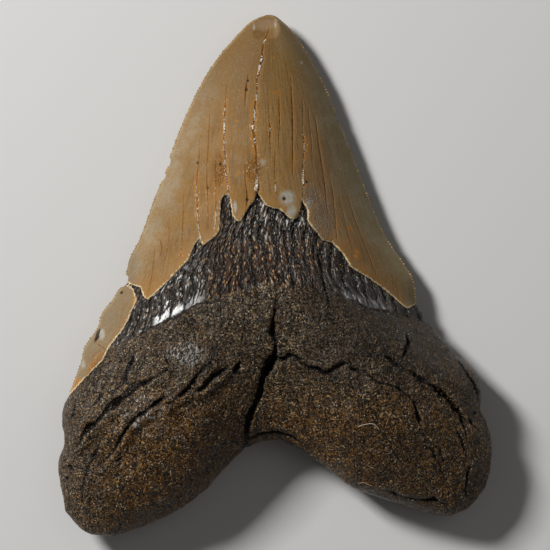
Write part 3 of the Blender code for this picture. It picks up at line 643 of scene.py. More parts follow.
    vein((7.6, 14.1, 0.22, 0.7, 0), (8.2, 10.9, 0.27, 0.9, 0), (8.4, 7.6, 0.32, 1, 0),
        (8.4, 5.5, 0.16, 0.5, 0)))
# (x, y, radius) of round pits
PITS = ((-41.4, -49.1, 0.5), (-36.9, -48.0, 0.5), (-54.6, -51.2, 0.7), (-55.5, -54.2, 0.5),
        (-10.4, -24.9, 0.8), (2.5, 20.3, 0.45), (-7.4, 20.0, 0.4), (-20.7, 30.0, 0.3),
        (-14.6, 29.6, 0.3), (8.5, 24.8, 0.3), (-7.6, 49.5, 0.35), (-7.2, 51.9, 0.3),
        (-17.9, 23.2, 0.25), (-41.2, -4.7, 0.4), (53.3, -36.9, 0.4))
# (edge, growth line, radius, bite) of chips out of the cutting edges, 0 left and 1 right
CHIPS = ((0.0, 0.329, 1.6, 0.8), (0.0, 0.355, 1.4, 0.7), (1.0, 0.23, 1.3, 0.8),
         (0.0, 0.557, 1.9, 1.7))
# (x, y, width, length) of the soft spots of each kind
BLOTS = tuple(Blot(stain, *row) for stain, rows in {
    Stain.RUST: ((-0.7, 58.1, 0.6, 0.5), (0.4, 48.7, 1.5, 0.9), (-10.3, 41.1, 0.9, 0.5),
        (-9.9, 27.1, 1.1, 0.7), (-6.6, 27.7, 2.0, 4.0), (-14.3, 28.2, 1.4, 5.4),
        (-5.9, 40.0, 1.1, 8.0), (21.8, 5.4, 1.2, 2.0), (20.1, 12.5, 0.9, 0.9),
        (-53.0, -29.8, 2.2, 3.0), (-48.6, -25.6, 1.0, 2.4), (8.6, 34.0, 0.8, 4.0),
        (-37.6, -8.6, 0.7, 5.0)),
    # Second kind: pale rings on the enamel; the six from (-23.5, -21.0) to (-30.4, -36.0) lie on
    # the root and mark painted glints on a glossy patch and on the rolls' ridges.
    Stain.HALO: ((3.3, 20.4, 2.5, 2.5), (4.4, 17.0, 1.5, 2.4), (-46.4, -15.9, 1.1, 1.7),
        (-10.6, 18.2, 0.6, 1.9), (-3.2, 30.0, 0.9, 1.0), (8.9, 19.2, 1.3, 1.6),
        (-51.3, -23.9, 0.7, 1.2), (7.2, 57.0, 0.4, 0.4), (-23.5, -21.0, 5.8, 3.6),
        (-35.0, -33.2, 3.2, 1.9), (-38.6, -36.0, 2.8, 2.0), (-33.2, -36.9, 3.0, 1.6),
        (-36.6, -39.0, 2.0, 1.5), (-30.4, -36.0, 2.0, 1.2), (-5.6, 66.5, 0.38, 1.1),
        (0.1, 67.1, 0.3, 1.1), (0.4, 68.4, 0.6, 0.3)),
    Stain.FLAKE: ((12.6, 14.8, 3.6, 7.0), (9.5, 21.0, 2.5, 3.4), (-5.9, 28.0, 2.6, 4.0),
        (-15.0, 28.0, 1.8, 5.0)),
    Stain.WORN: ((-2.6, 67.2, 3.6, 2.1),),
}.items() for row in rows)
# lower margin of the dark ridged band, left to right
BAND_EDGE = ((-36.0, -15.6), (-31.0, -12.9), (-28.3, -11.5), (-25.6, -10.2), (-22.9, -8.9),
             (-20.2, -7.5), (-18.0, -6.4), (-12.1, -4.8), (-4.0, -2.9), (6.8, -2.9),
             (13.6, -4.3), (17.6, -6.1), (20.3, -7.0), (23.0, -7.8), (25.7, -8.9),
             (28.4, -9.1), (31.7, -10.2), (36.0, -11.5))


# ---------------------------------------------------------------- node trees
def arithmetic(operation: str, turned: bool = False) -> Callable[..., "Wire"]:
    """Make a method of Wire that does one step of arithmetic.

    Args:
        operation: The Math node's operation.
        turned: Whether the wire is the last of the values.

    Returns:
        The method, which takes the other value if there is one.
    """
    def step(wire: "Wire", *other: "Value") -> "Wire":
        """Work the step out."""
        return wire.graph.math(operation, *((*other, wire) if turned else (wire, *other)))

    return step


class Wire:
    """A number, vector, colour or geometry in a node tree, with plain arithmetic."""

    __add__ = arithmetic("ADD")
    __sub__ = arithmetic("SUBTRACT")
    __rsub__ = arithmetic("SUBTRACT", turned=True)
    __mul__ = arithmetic("MULTIPLY")
    __truediv__ = arithmetic("DIVIDE")
    __rtruediv__ = arithmetic("DIVIDE", turned=True)
    __pow__ = arithmetic("POWER")
    __abs__ = arithmetic("ABSOLUTE")
    at_least = arithmetic("MAXIMUM")
    at_most = arithmetic("MINIMUM")

    def __init__(self, graph: "Graph", socket: NodeSocket) -> None:
        """Take the output socket that it comes from."""
        self.graph = graph
        self.socket = socket

    def ramp(self, low: float, high: float, start: float = 0.0, end: float = 1.0) -> "Wire":
        """Change smoothly from start to end as this number goes from low to high.

        Args:
            low: Value that gives start.
            high: Value that gives end.
            start: First result.
            end: Last result.

        Returns:
            The result.
        """
        if low > high:
            low, high, start, end = high, low, end, start
        ports = {"Value": self, "From Min": low, "From Max": high, "To Min": start, "To Max": end}
        return self.graph.out("ShaderNodeMapRange", ports, interpolation_type="SMOOTHSTEP")

    def noise(self, scale: "Value", detail: float = 2.0, roughness: float = 0.5,
              distortion: float = 0.0) -> "Wire":
        """Read a noise field at this place.

        Args:
            scale: Cells to a unit.
            detail: Layers of finer noise.
            roughness: Strength of the finer layers.
            distortion: How far the field is pulled about.

        Returns:
            The value, around 0.5.
        """
        ports = {"Vector": self, "Scale": scale, "Detail": detail, "Roughness": roughness,
                 "Distortion": distortion}
        return self.graph.out("ShaderNodeTexNoise", ports)

    def grains(self, scale: float) -> tuple["Wire", "Wire"]:
        """Scatter grains.

        Args:
            scale: Grains to a unit.

        Returns:
            Distance from the nearest grain's middle, and a number of its own, 0 to 1.
        """
        made = self.graph.node("ShaderNodeTexVoronoi", {"Vector": self, "Scale": scale})
        own = Wire(self.graph, made.outputs["Color"])
        return Wire(self.graph, made.outputs["Distance"]), own.axis(0)

    def axis(self, place: int) -> "Wire":
        """Read one number of this vector."""
        return self.graph.out("ShaderNodeSeparateXYZ", {0: self}, place)

    def scaled(self, factor: "Value") -> "Wire":
        """Multiply this vector by one number."""
        ports = {0: self, "Scale": factor}
        return self.graph.out("ShaderNodeVectorMath", ports, operation="SCALE")

    def drawn_out(self, across: float, down: float) -> "Wire":
        """Multiply this vector's first two numbers, which stretches what is read at it."""
        ports = {0: self, 1: (across, down, 1.0)}
        return self.graph.out("ShaderNodeVectorMath", ports, operation="MULTIPLY")

    def mixed(self, share: "Value", other: "Wire | Colour") -> "Wire":
        """Mix a share of another colour into this one."""
        return self.graph.mixed(share, self, other)


Value = Wire | float


class Graph:
    """A shader or geometry node tree under construction."""

    def __init__(self, tree: NodeTree) -> None:
        """Take the tree to build in."""
        self.tree = tree

    def __getitem__(self, name: str) -> Wire:
        """Read a number stored on the mesh.

        Args:
            name: Name of the number.

        Returns:
            The number.
        """
        if self.tree.bl_idname == "GeometryNodeTree":
            return self.out("GeometryNodeInputNamedAttribute", {"Name": name}, "Attribute",
                            data_type="FLOAT")
        return self.out("ShaderNodeAttribute", None, "Fac", attribute_name=name)

    def node(self, kind: str, inputs: dict | None = None, **settings) -> Node:
        """Add a node.

        Args:
            kind: The node's type name.
            inputs: Values or wires for its inputs, by name or place.
            **settings: Its own settings.

        Returns:
            The node.
        """
        made = self.tree.nodes.new(kind)
        for name, value in settings.items():
            setattr(made, name, value)
        for key, value in (inputs or {}).items():
            self.feed(made.inputs[key], value)
        return made

    def out(self, kind: str, inputs: dict | None = None, port: int | str = 0,
            **settings) -> Wire:
        """Add a node and give the wire of its first output, or of the named one."""
        return Wire(self, self.node(kind, inputs, **settings).outputs[port])

    def feed(self, socket: NodeSocket, value: "Value | Colour") -> None:
        """Link a wire to an input socket, or set the socket's value.

        Args:
            socket: Input to feed.
            value: Wire, number or colour.
        """
        if isinstance(value, Wire):
            self.tree.links.new(value.socket, socket)
        else:
            socket.default_value = (*value, 1.0) if socket.type == "RGBA" else value

    def math(self, operation: str, *values: Value) -> Wire:
        """Work out one step of arithmetic."""
        return self.out("ShaderNodeMath", dict(enumerate(values)), operation=operation)

    def rows(self, spot: Wire, spacing: Value) -> Wire:
        """Draw the band's wavering lengthwise ridges, 0 in a valley and 1 on a crest.

        Args:
            spot: Place to read.
            spacing: From crest to crest.

        Returns:
            The height of the ridges.
        """
        pulled = (spot.noise(0.14, 3.0, 0.6) - 0.5) * 5.0
        place = (self["across"] * SPAN_ACROSS + pulled) / spacing
        return self.math("PINGPONG", place, 0.5) * 2.0

    def combined(self, x: Value, y: Value, z: Value) -> Wire:
        """Make a vector from three numbers."""
        return self.out("ShaderNodeCombineXYZ", {0: x, 1: y, 2: z})

    def mixed(self, share: Value, first: Wire | Colour, second: Wire | Colour,
              way: str = "MIX") -> Wire:
        """Mix two colours.

        Args:
            share: How much of the second one shows.
            first: Colour or wire.
            second: Colour or wire.
            way: Blend mode.

        Returns:
            The mixed colour.
        """
        made = self.node("ShaderNodeMix", data_type="RGBA", blend_type=way)
        self.feed(made.inputs["Factor"], share)
        tinted = [port for port in made.inputs if port.type == "RGBA"]
        for port, value in zip(tinted, (first, second)):
            self.feed(port, value)
        return Wire(self, next(port for port in made.outputs if port.type == "RGBA"))

    def chance(self, seed: Value) -> Wire:
        """Draw a number from 0 to 1 for each point."""
        made = self.node("FunctionNodeRandomValue", {"Seed": seed}, data_type="FLOAT")
        return Wire(self, next(port for port in made.outputs if port.type == "VALUE"))

    def balls(self, points: Wire, turn: Wire, scale: Wire, tone: Wire) -> Wire:
        """Set a small ball on each point.

        Args:
            points: Where the balls sit.
            turn: Their rotations, in whole turns.
            scale: Their half axes.
            tone: The number that picks their colour.

        Returns:
            The balls, as instances.
        """
        ball = self.out("GeometryNodeMeshIcoSphere", {"Radius": 1.0, "Subdivisions": 1})
        ports = {"Points": points, "Instance": ball, "Rotation": turn.scaled(math.tau),
                 "Scale": scale}
        placed = self.out("GeometryNodeInstanceOnPoints", ports)
        ports = {"Geometry": placed, "Name": "tone", "Value": tone}
        return self.out("GeometryNodeStoreNamedAttribute", ports, data_type="FLOAT",
                        domain="INSTANCE")


def new_material(name: str) -> tuple[Material, Graph]:
    """Make a material and the graph of its empty node tree.

    Args:
        name: Its name.

    Returns:
        The material and its graph.
    """
    made = bpy.data.materials.new(name)
    made.use_nodes = True
    made.node_tree.nodes.clear()
    return made, Graph(made.node_tree)


@dataclass(frozen=True)
class Dial:
    """One named input of a geometry tree and the value it is set to."""

    name: str
    value: float | int | ID
    kind: str = "NodeSocketFloat"


class Growth:
    """A geometry node tree with named inputs that ends in realized, dressed geometry."""

    def __init__(self, name: str, dials: Iterable[Dial], material: Material) -> None:
        """Start the tree.

        Args:
            name: Name of the tree.
            dials: Its named inputs.
            material: What its geometry is dressed in.
        """
        self.tree = bpy.data.node_groups.new(name, "GeometryNodeTree")
        self.dials = [*dials, Dial("Material", material, "NodeSocketMaterial")]
        face = self.tree.interface
        face.new_socket("Geometry", in_out="INPUT", socket_type="NodeSocketGeometry")
        self.ports = {dial.name: face.new_socket(dial.name, in_out="INPUT",
                                                 socket_type=dial.kind)
                      for dial in self.dials}
        face.new_socket("Geometry", in_out="OUTPUT", socket_type="NodeSocketGeometry")
        self.graph = Graph(self.tree)
        self.inputs = {port.name: Wire(self.graph, port)
                       for port in self.graph.node("NodeGroupInput").outputs}

    def finish(self, geometry: Wire) -> None:
        """Realize the geometry, dress it and hand it to the tree's output.

        Args:
            geometry: What the tree made.
        """
        real = self.graph.out("GeometryNodeRealizeInstances", {"Geometry": geometry})
        ports = {"Geometry": real, "Material": self.inputs["Material"]}
        dressed = self.graph.out("GeometryNodeSetMaterial", ports)
        self.graph.node("NodeGroupOutput", {0: dressed})

    def grow(self, host: Object) -> None:
        """Put the tree on an object, its inputs set by identifier.

        Args:
            host: The object.
        """
        modifier = host.modifiers.new(self.tree.name, "NODES")
        modifier.node_group = self.tree
        for dial in self.dials:
            modifier[self.ports[dial.name].identifier] = dial.value


def linked(name: str, data: ID) -> Object:
    """Make an object and put it in the scene.

    Args:
        name: Its name.
        data: What it shows.

    Returns:
        The object.
    """
    made = bpy.data.objects.new(name, data)
    bpy.context.scene.collection.objects.link(made)
    return made


def store(data: Mesh, name: str, values: Array) -> None:
    """Keep one number for each point of a mesh."""
    layer = data.attributes.new(name, "FLOAT", "POINT")
    layer.data.foreach_set("value", values.astype(np.float32))


def bake(host: Object, name: str) -> Object:
    """Turn an object and its modifiers into a plain mesh object.

    Args:
        host: Object to bake, which is removed.
        name: Name of the new object.

    Returns:
        The plain object, in the scene.
    """
    evaluated = host.evaluated_get(bpy.context.evaluated_depsgraph_get())
    mesh = bpy.data.meshes.new_from_object(evaluated)
    bpy.data.objects.remove(host)
    mesh.name = name
    return linked(name, mesh)


def hand_over(piece: Object) -> Object:
    """Hold a piece inside the CAD solid's box and let it move with the tooth's body.

    Args:
        piece: The baked piece.

    Returns:
        The same piece, smooth and attached to the tooth's body.
    """
    spots = np.zeros(len(piece.data.vertices) * 3)
    piece.data.vertices.foreach_get("co", spots)
    held = np.clip(spots.reshape(-1, 3), *np.array(CAD_BOX))
    piece.data.vertices.foreach_set("co", held.ravel())
    piece.data.shade_smooth()
    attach(piece, BODY)
    LOG.info("%s: %d faces", piece.name, len(piece.data.polygons))
    return piece


# ---------------------------------------------------------------- the tooth
@dataclass
class ToothBody:
    """Crown, band and root in one closed mesh, with what its finish reads.

    The mesh is a grid of growth lines on each face.  Numbers stored on it say how far a
    point lies from the enamel's edge, the cracks and the veins.
    """

    outline: Outline
    relief: Relief
    enamel: EnamelEdge
    columns: int = 290
    rows: int = 330
    crowding: float = 0.5
    triangles: int = 194_000
    ledge: tuple[float, float] = (-0.12, 0.22)
    reach: float = 3.0
    band_reach: float = 160.0
    ragged: float = 0.5
    ragged_waves: Points = ((1.7, 0.3), (0.7, 0.22))
    ragged_seed: int = 7
    least_width: float = 0.1
    deepest: float = 2.6
    wedge: tuple[float, float] = (1.15, 0.8)
    lip_place: float = 1.0
    lip_spread: float = 1.2
    far_lip: float = 0.3
    stain_reach: float = 0.9
    strip_width: float = 2.3
    strip_foot: float = 0.4
    strip_rise: float = -0.45
    strips: Points = ((-35.0, -31.5, -21.5, -18.0, 1.0), (15.0, 19.0, 30.0, 34.0, 0.6))
    facet: tuple[float, float, float] = (9.0, 65.5, -0.62)
    facet_sides: tuple[float, float] = (-5.2, -0.4)
    facet_fade: float = 3.0
    facet_onset: float = 2.0
    chip_share: float = 0.2
    edge_samples: int = 60
    edge_reach: float = 12.0
    labial_band: float = -30.0
    grain: tuple[Dial, ...] = (
        Dial("Grain Height", 0.4), Dial("Grain Size", 1.0), Dial("Knob Height", 0.8),
        Dial("Knob Size", 3.2), Dial("Ridge Height", 0.45), Dial("Ridge Spacing", 2.7),
        Dial("Bead Height", 0.5), Dial("Growth Height", 0.05), Dial("Growth Count", 40.0),
        Dial("Unit", MM))

    def numbering(self) -> tuple[Array, Array]:
        """Number the points of both grids, which share the tooth's rim.

        Returns:
            The lingual and the labial grid of point numbers, a row for each growth line.
        """
        rows, columns = self.rows, self.columns
        upper = np.zeros((rows + 1, columns + 1), dtype=int)
        upper[1:] = 1 + np.arange(rows * (columns + 1)).reshape(rows, columns + 1)
        lower = upper.copy()
        count = (rows - 1) * (columns - 1)
        lower[1:-1, 1:-1] = upper.max() + 1 + np.arange(count).reshape(rows - 1, columns - 1)
        return upper, lower

    def faces(self, upper: Array, lower: Array) -> list[list[int]]:
        """List the faces of both grids, turned outwards.

        Args:
            upper: Point numbers of the lingual grid.
            lower: Point numbers of the labial grid.

        Returns:
            The corners of each face.
        """
        quads = []
        for grid, flip in ((upper, 1), (lower, -1)):
            ring = np.stack([grid[1:-1, :-1], grid[2:, :-1], grid[2:, 1:], grid[1:-1, 1:]], -1)
            fan = np.stack([grid[0, :-1], grid[1, :-1], grid[1, 1:]], -1)
            quads += ring.reshape(-1, 4)[:, ::flip].tolist() + fan[:, ::flip].tolist()
        return quads

    def spread(self, upper: Array, lower: Array) -> tuple[Array, Array, Array]:
        """Spread the points over the tooth.

        Args:
            upper: Point numbers of the lingual grid.
            lower: Point numbers of the labial grid.

        Returns:
            Each point's across and down, and whether it is on the labial face.
        """
        column = np.linspace(0.0, 1.0, self.columns + 1)
        row = np.linspace(0.0, 1.0, self.rows + 1)
        column = blend(column, 0.5 - 0.5 * np.cos(math.pi * column), self.crowding)
        row = blend(row, np.sin(0.5 * math.pi * row), self.crowding)
        down_grid, across_grid = np.meshgrid(row, column, indexing="ij")
        across, down = np.zeros(lower.max() + 1), np.zeros(lower.max() + 1)
        labial = np.ones(lower.max() + 1, dtype=bool)
        for grid in (lower, upper):
            across[grid], down[grid] = across_grid, down_grid
        labial[upper] = False
        across[0] = 0.5
        return across, down, labial

    def marks(self, place: Array) -> dict[str, Array]:
        """Measure each lingual point against the cracks, veins and spots.

        Args:
            place: Rows of x and y.

        Returns:
            How deep the marks are cut, and the numbers that the finish reads.
        """
        ragged = place.copy()
        noise.seed_set(self.ragged_seed)    # without it noise_vector is seeded by the clock
        for spacing, pull in self.ragged_waves:
            waves = [noise.noise_vector(Vector((x, y, 5.0)) / spacing) for x, y in place]
            ragged += pull * np.array(waves)[:, :2]
        uneven = 1.0 + self.ragged * np.array(waves)[:, 2]
        shape = (len(place),)
        carve, raised, stain, mineral = (np.zeros(shape) for _ in range(4))
        side = {mark: np.full(shape, self.reach) for mark in Mark}
        half_of = {mark: np.zeros(shape) for mark in Mark}
        for line in LINES:
            veined = line.mark is Mark.VEIN
            signed, values = nearest(place if veined else ragged, line.path(), self.reach)
            gap = np.abs(signed)
            half = 0.5 * np.maximum(values[:, 0], self.least_width) * uneven
            near = gap < self.reach
            closer = near & (gap - half < np.abs(side[line.mark]) - half_of[line.mark])
            side[line.mark][closer] = signed[closer]
            half_of[line.mark][closer] = half[closer]
            if veined:
                depth = line.depth * half * hump(gap, 0.0, 2.0 * half)
                mineral[closer] = values[closer, 1]
                stained = near * values[:, 2] * hump(gap, 0.0, self.stain_reach)
                stain = np.maximum(stain, stained)
            else:
                top, power = self.wedge
                wedge = np.clip(top - gap / half, 0.0, 1.0) ** power
                depth = line.depth * np.minimum(2.0 * half, self.deepest) * wedge
                lip = np.where(signed > 0.0, line.lip, self.far_lip * line.lip)
                lip = near * lip * hump(gap - half, self.lip_place, self.lip_spread)
                raised = np.maximum(raised, lip)
            carve = np.maximum(carve, near * depth)
        pit = np.full(shape, self.reach)
        for x, y, radius in PITS:
            gap = np.hypot(place[:, 0] - x, place[:, 1] - y)
            carve = np.maximum(carve, np.sqrt(np.clip(radius**2 - gap**2, 0.0, None)))
            pit = np.minimum(pit, gap - radius)
        soft = {kind.value: np.max([blot.strength(place) for blot in BLOTS
                                    if blot.stain is kind], axis=0) for kind in Stain}
        for mark, gap in side.items():
            name = mark.name.lower()
            soft |= {name + "_side": gap, name + "_near": np.abs(gap),
                     name + "_half": half_of[mark]}
        return {"carve": carve - raised, "pit": pit, "mineral": mineral, "stain": stain, **soft}

    def strip(self, place: Array, band: Array) -> Array:
        """Tilt the smooth strips at both ends of the band's lower margin up.

        Args:
            place: Rows of x and y.
            band: Distance to the band's lower margin.

        Returns:
            The height to add.
        """
        share = np.zeros(len(place))
        for rise, top, fall, end, strength in self.strips:
            share += strength * ease(place[:, 0], rise, top) * (1.0 - ease(place[:, 0], fall, end))
        slope = 1.0 - np.where(band > 0.0, band / self.strip_width, -band / self.strip_foot)
        return self.strip_rise * share * np.clip(slope, 0.0, 1.0)

    def levels(self, place: Array, height: Array) -> Array:
        """Wear the tip's facet down and level the spots on which the tooth rests.

        Args:
            place: Rows of x and y.
            height: Heights there.

        Returns:
            The new heights.
        """
        level, start, slope = self.facet
        plane = level + slope * (place[:, 1] - start)
        low, high = self.facet_sides
        near = ease(place[:, 0], low - self.facet_fade, low)
        near *= 1.0 - ease(place[:, 0], high, high + self.facet_fade)
        tip = place[:, 1] > start - self.facet_onset
        worn = np.minimum(height, np.where(tip, plane, np.inf))
        return np.maximum(blend(height, worn, near), 0.0)

    def chips(self, place: Array, height: Array, across: Array) -> Array:
        """Push the rim's points in where a chip is gone.

        Args:
            place: Rows of x and y.
            height: Heights there.
            across: The same points' across.

        Returns:
            The new rows of x and y.
        """
        moved = place.copy()
        for edge, line, radius, bite in CHIPS:
            centre = self.outline.plan(np.array([edge]), np.array([line]))[0]
            centre[0] += math.copysign(radius - bite, centre[0])
            rim = profile(self.relief.rim_height, line)
            off = np.column_stack([moved, height]) - np.array([*centre, rim])
            gap = np.linalg.norm(off, axis=1)
            near = (gap < radius) & (np.abs(across - edge) < self.chip_share)
            push = np.sqrt(np.clip(radius**2 - off[near, 1]**2 - off[near, 2]**2, 0.0, None))
            moved[near, 0] = centre[0] - math.copysign(1.0, centre[0]) * push
        return moved

    def sculpt(self) -> Object:
        """Model the tooth with its ledge, cracks, chips and facet.

        Returns:
            An object whose mesh carries the numbers that relief and finish read.
        """
        upper, lower = self.numbering()
        across, down, labial = self.spread(upper, lower)
        place = self.outline.plan(across, down)
        border = np.where(labial, self.enamel.border(Face.LABIAL, place),
                          self.enamel.border(Face.LINGUAL, place))
        cover = ease(border, *self.ledge)
        forms = {face: self.relief.heights(face, place, across, down, cover) for face in Face}
        band, _ = nearest(place, np.array(BAND_EDGE), self.band_reach)
        forms[Face.LINGUAL] += self.strip(place, band)
        height = np.where(labial, forms[Face.LABIAL], forms[Face.LINGUAL])
        far = {"pit"} | {mark.name.lower() + end for mark in Mark for end in ("_side", "_near")}
        numbers = {name: np.where(labial, self.reach if name in far else 0.0, value)
                   for name, value in self.marks(place).items()}
        data = bpy.data.meshes.new(NODE)
        spots = np.column_stack([place, height])
        data.from_pydata(spots.tolist(), [], self.faces(upper, lower))
        outward = np.zeros(len(spots) * 3)
        data.vertex_normals.foreach_get("vector", outward)
        spots -= numbers.pop("carve")[:, None] * outward.reshape(-1, 3)
        spots[:, :2] = self.chips(spots[:, :2], spots[:, 2], across)
        spots[:, 2] = self.levels(spots[:, :2], spots[:, 2])
        data.vertices.foreach_set("co", (spots * MM).ravel())
        numbers |= {"border": border, "band": np.where(labial, self.labial_band, band),
                    "across": across, "down": down, "lingual": ~labial,
                    "edge": self.edge(place)}
        for name, value in numbers.items():
            store(data, name, value)
        return linked(NODE, data)

    def edge(self, place: Array) -> Array:
        """Measure how far each point lies from the crown's cutting edges.

        Args:
            place: Rows of x and y.

        Returns:
            The distances.
        """
        gaps = []
        for across, end in zip((0.0, 1.0), self.outline.crown_ends):
            down = np.linspace(0.0, end, self.edge_samples)
            line = self.outline.plan(np.full(len(down), across), down)
            gaps.append(np.abs(nearest(place, line, self.edge_reach)[0]))
        return np.min(gaps, axis=0)

    def weathering(self, material: Material) -> Growth:
        """Describe the fine relief: grain and knobs of the root, ridges of the band.

        Args:
            material: The tooth's finish.

        Returns:
            The tree.
        """
        growth = Growth("weathered_surface", self.grain, material)
        graph, dial = growth.graph, growth.inputs
        border, band = graph["border"], graph["band"]
        bare = border.ramp(0.1, -0.5)
        ridged = band.ramp(-0.6, 0.8) * bare
        plain = band.ramp(0.8, -0.6) * bare
        spot = graph.out("GeometryNodeInputPosition").scaled(1.0 / dial["Unit"])
        fine = spot.scaled(1.0 / dial["Grain Size"]).noise(1.0, 2.0, 0.6)
        knob = spot.scaled(1.0 / dial["Knob Size"]).noise(1.0, 2.0, 0.5)
        ridge = graph.rows(spot, dial["Ridge Spacing"])
        place = graph.combined(graph["across"] * dial["Growth Count"], graph["down"] * 1.5, 0.0)
        flute = place.noise(1.0, 1.0, 0.5)
        lift = (plain * dial["Grain Height"] * (fine - 0.5)
                + bare * dial["Knob Height"] * (knob - 0.5)
                + ridged * dial["Ridge Height"] * (ridge - 0.5)
                + ridged * dial["Bead Height"] * (fine - 0.5)
                + border.ramp(0.0, 1.0) * dial["Growth Height"] * (flute - 0.6))
        normal = graph.out("GeometryNodeInputNormal")
        ports = {"Geometry": dial["Geometry"], "Offset": normal.scaled(lift * dial["Unit"])}
        growth.finish(graph.out("GeometryNodeSetPosition", ports))
        return growth

    def thin(self, made: Object) -> None:
        """Take the triangles down to the set count, the labial face first.

        Args:
            made: The tooth before it is baked.
        """
        data = made.data
        lingual = np.zeros(len(data.vertices), dtype=np.float32)
        data.attributes["lingual"].data.foreach_get("value", lingual)
        group = made.vertex_groups.new(name="keep")
        group.add(np.flatnonzero(lingual > 0.5).tolist(), 1.0, "REPLACE")
        fewer = made.modifiers.new("thin", "DECIMATE")
        fewer.ratio = self.triangles / sum(len(face.vertices) - 2 for face in data.polygons)
        fewer.vertex_group = group.name
        fewer.invert_vertex_group = True
        fewer.vertex_group_factor = 1.0

    def build(self, finish: "ToothFinish") -> Object:
        """Build the tooth and put it in the place of its CAD node.

        Args:
            finish: What it is dressed in.

        Returns:
            The finished piece.
        """
        rough = self.sculpt()
        material = finish.material()
        rough.data.materials.append(material)
        self.weathering(material).grow(rough)
        self.thin(rough)
        piece = bake(rough, "tooth_surface")
        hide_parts(NODE)
        return hand_over(piece)


# ---------------------------------------------------------------- finishes


@dataclass(frozen=True)
class Coat:
    """Colour, roughness and bump height (in outline units) of one kind of surface."""

    colour: Wire
    roughness: Wire
    height: Wire

    def over(self, share: Wire, under: "Coat") -> "Coat":
        """Lay this coat over another one.

        Args:
            share: Where this coat shows, 0 to 1.
            under: The coat below it.

        Returns:
            The mixed coat.
        """
        def between(low: Wire, high: Wire) -> Wire:
            """Mix two numbers by the share."""
            return share.graph.out("ShaderNodeMix", {0: share, 2: low, 3: high})

        return Coat(under.colour.mixed(share, self.colour),
                    between(under.roughness, self.roughness), between(under.height, self.height))


class Ground:
    """What the coats share: places, and distances to cracks and margins."""

    def __init__(self, graph: Graph) -> None:
        """Lay out the shared wires in a material's tree.

        Args:
            graph: The material's tree.
        """
        self.graph = graph
        self.spot = graph.out("ShaderNodeTexCoord", port="Object").scaled(1.0 / MM)
        self.x, self.y = self.spot.axis(0), self.spot.axis(1)
        self.run = graph.combined(graph["across"] * SPAN_ACROSS, graph["down"] * SPAN_DOWN,
                                  graph["lingual"] * SPAN_THICK)
        self.patches = self.spot.noise(0.45, 4.0, 0.6)
        self.fine = self.spot.noise(2.4, 3.0, 0.65)
        self.border = graph["border"] + self.wobble(1.4, 0.9)
        self.band = graph["band"] + self.wobble(0.5, 2.2)
        self.crack = (self.gap(Mark.CRACK) - graph["crack_half"]).at_most(graph["pit"])

    def wobble(self, scale: float, reach: float) -> Wire:
        """Give an uneven offset, as much below zero as above it."""
        return (self.spot.noise(scale, 3.0, 0.6) - 0.5) * reach

    def gap(self, mark: Mark) -> Wire:
        """Give the distance to the nearest line, kept true between two lines."""
        name = mark.name.lower()
        return abs(self.graph[name + "_side"]).at_least(self.graph[name + "_near"] - 0.3)

    def cracked(self, colour: Wire, dark: Colour) -> Wire:
        """Darken the cracks and pits of a coat with painted shade."""
        return colour.mixed(self.crack.ramp(0.2, -0.08, 0.0, 0.96), dark)


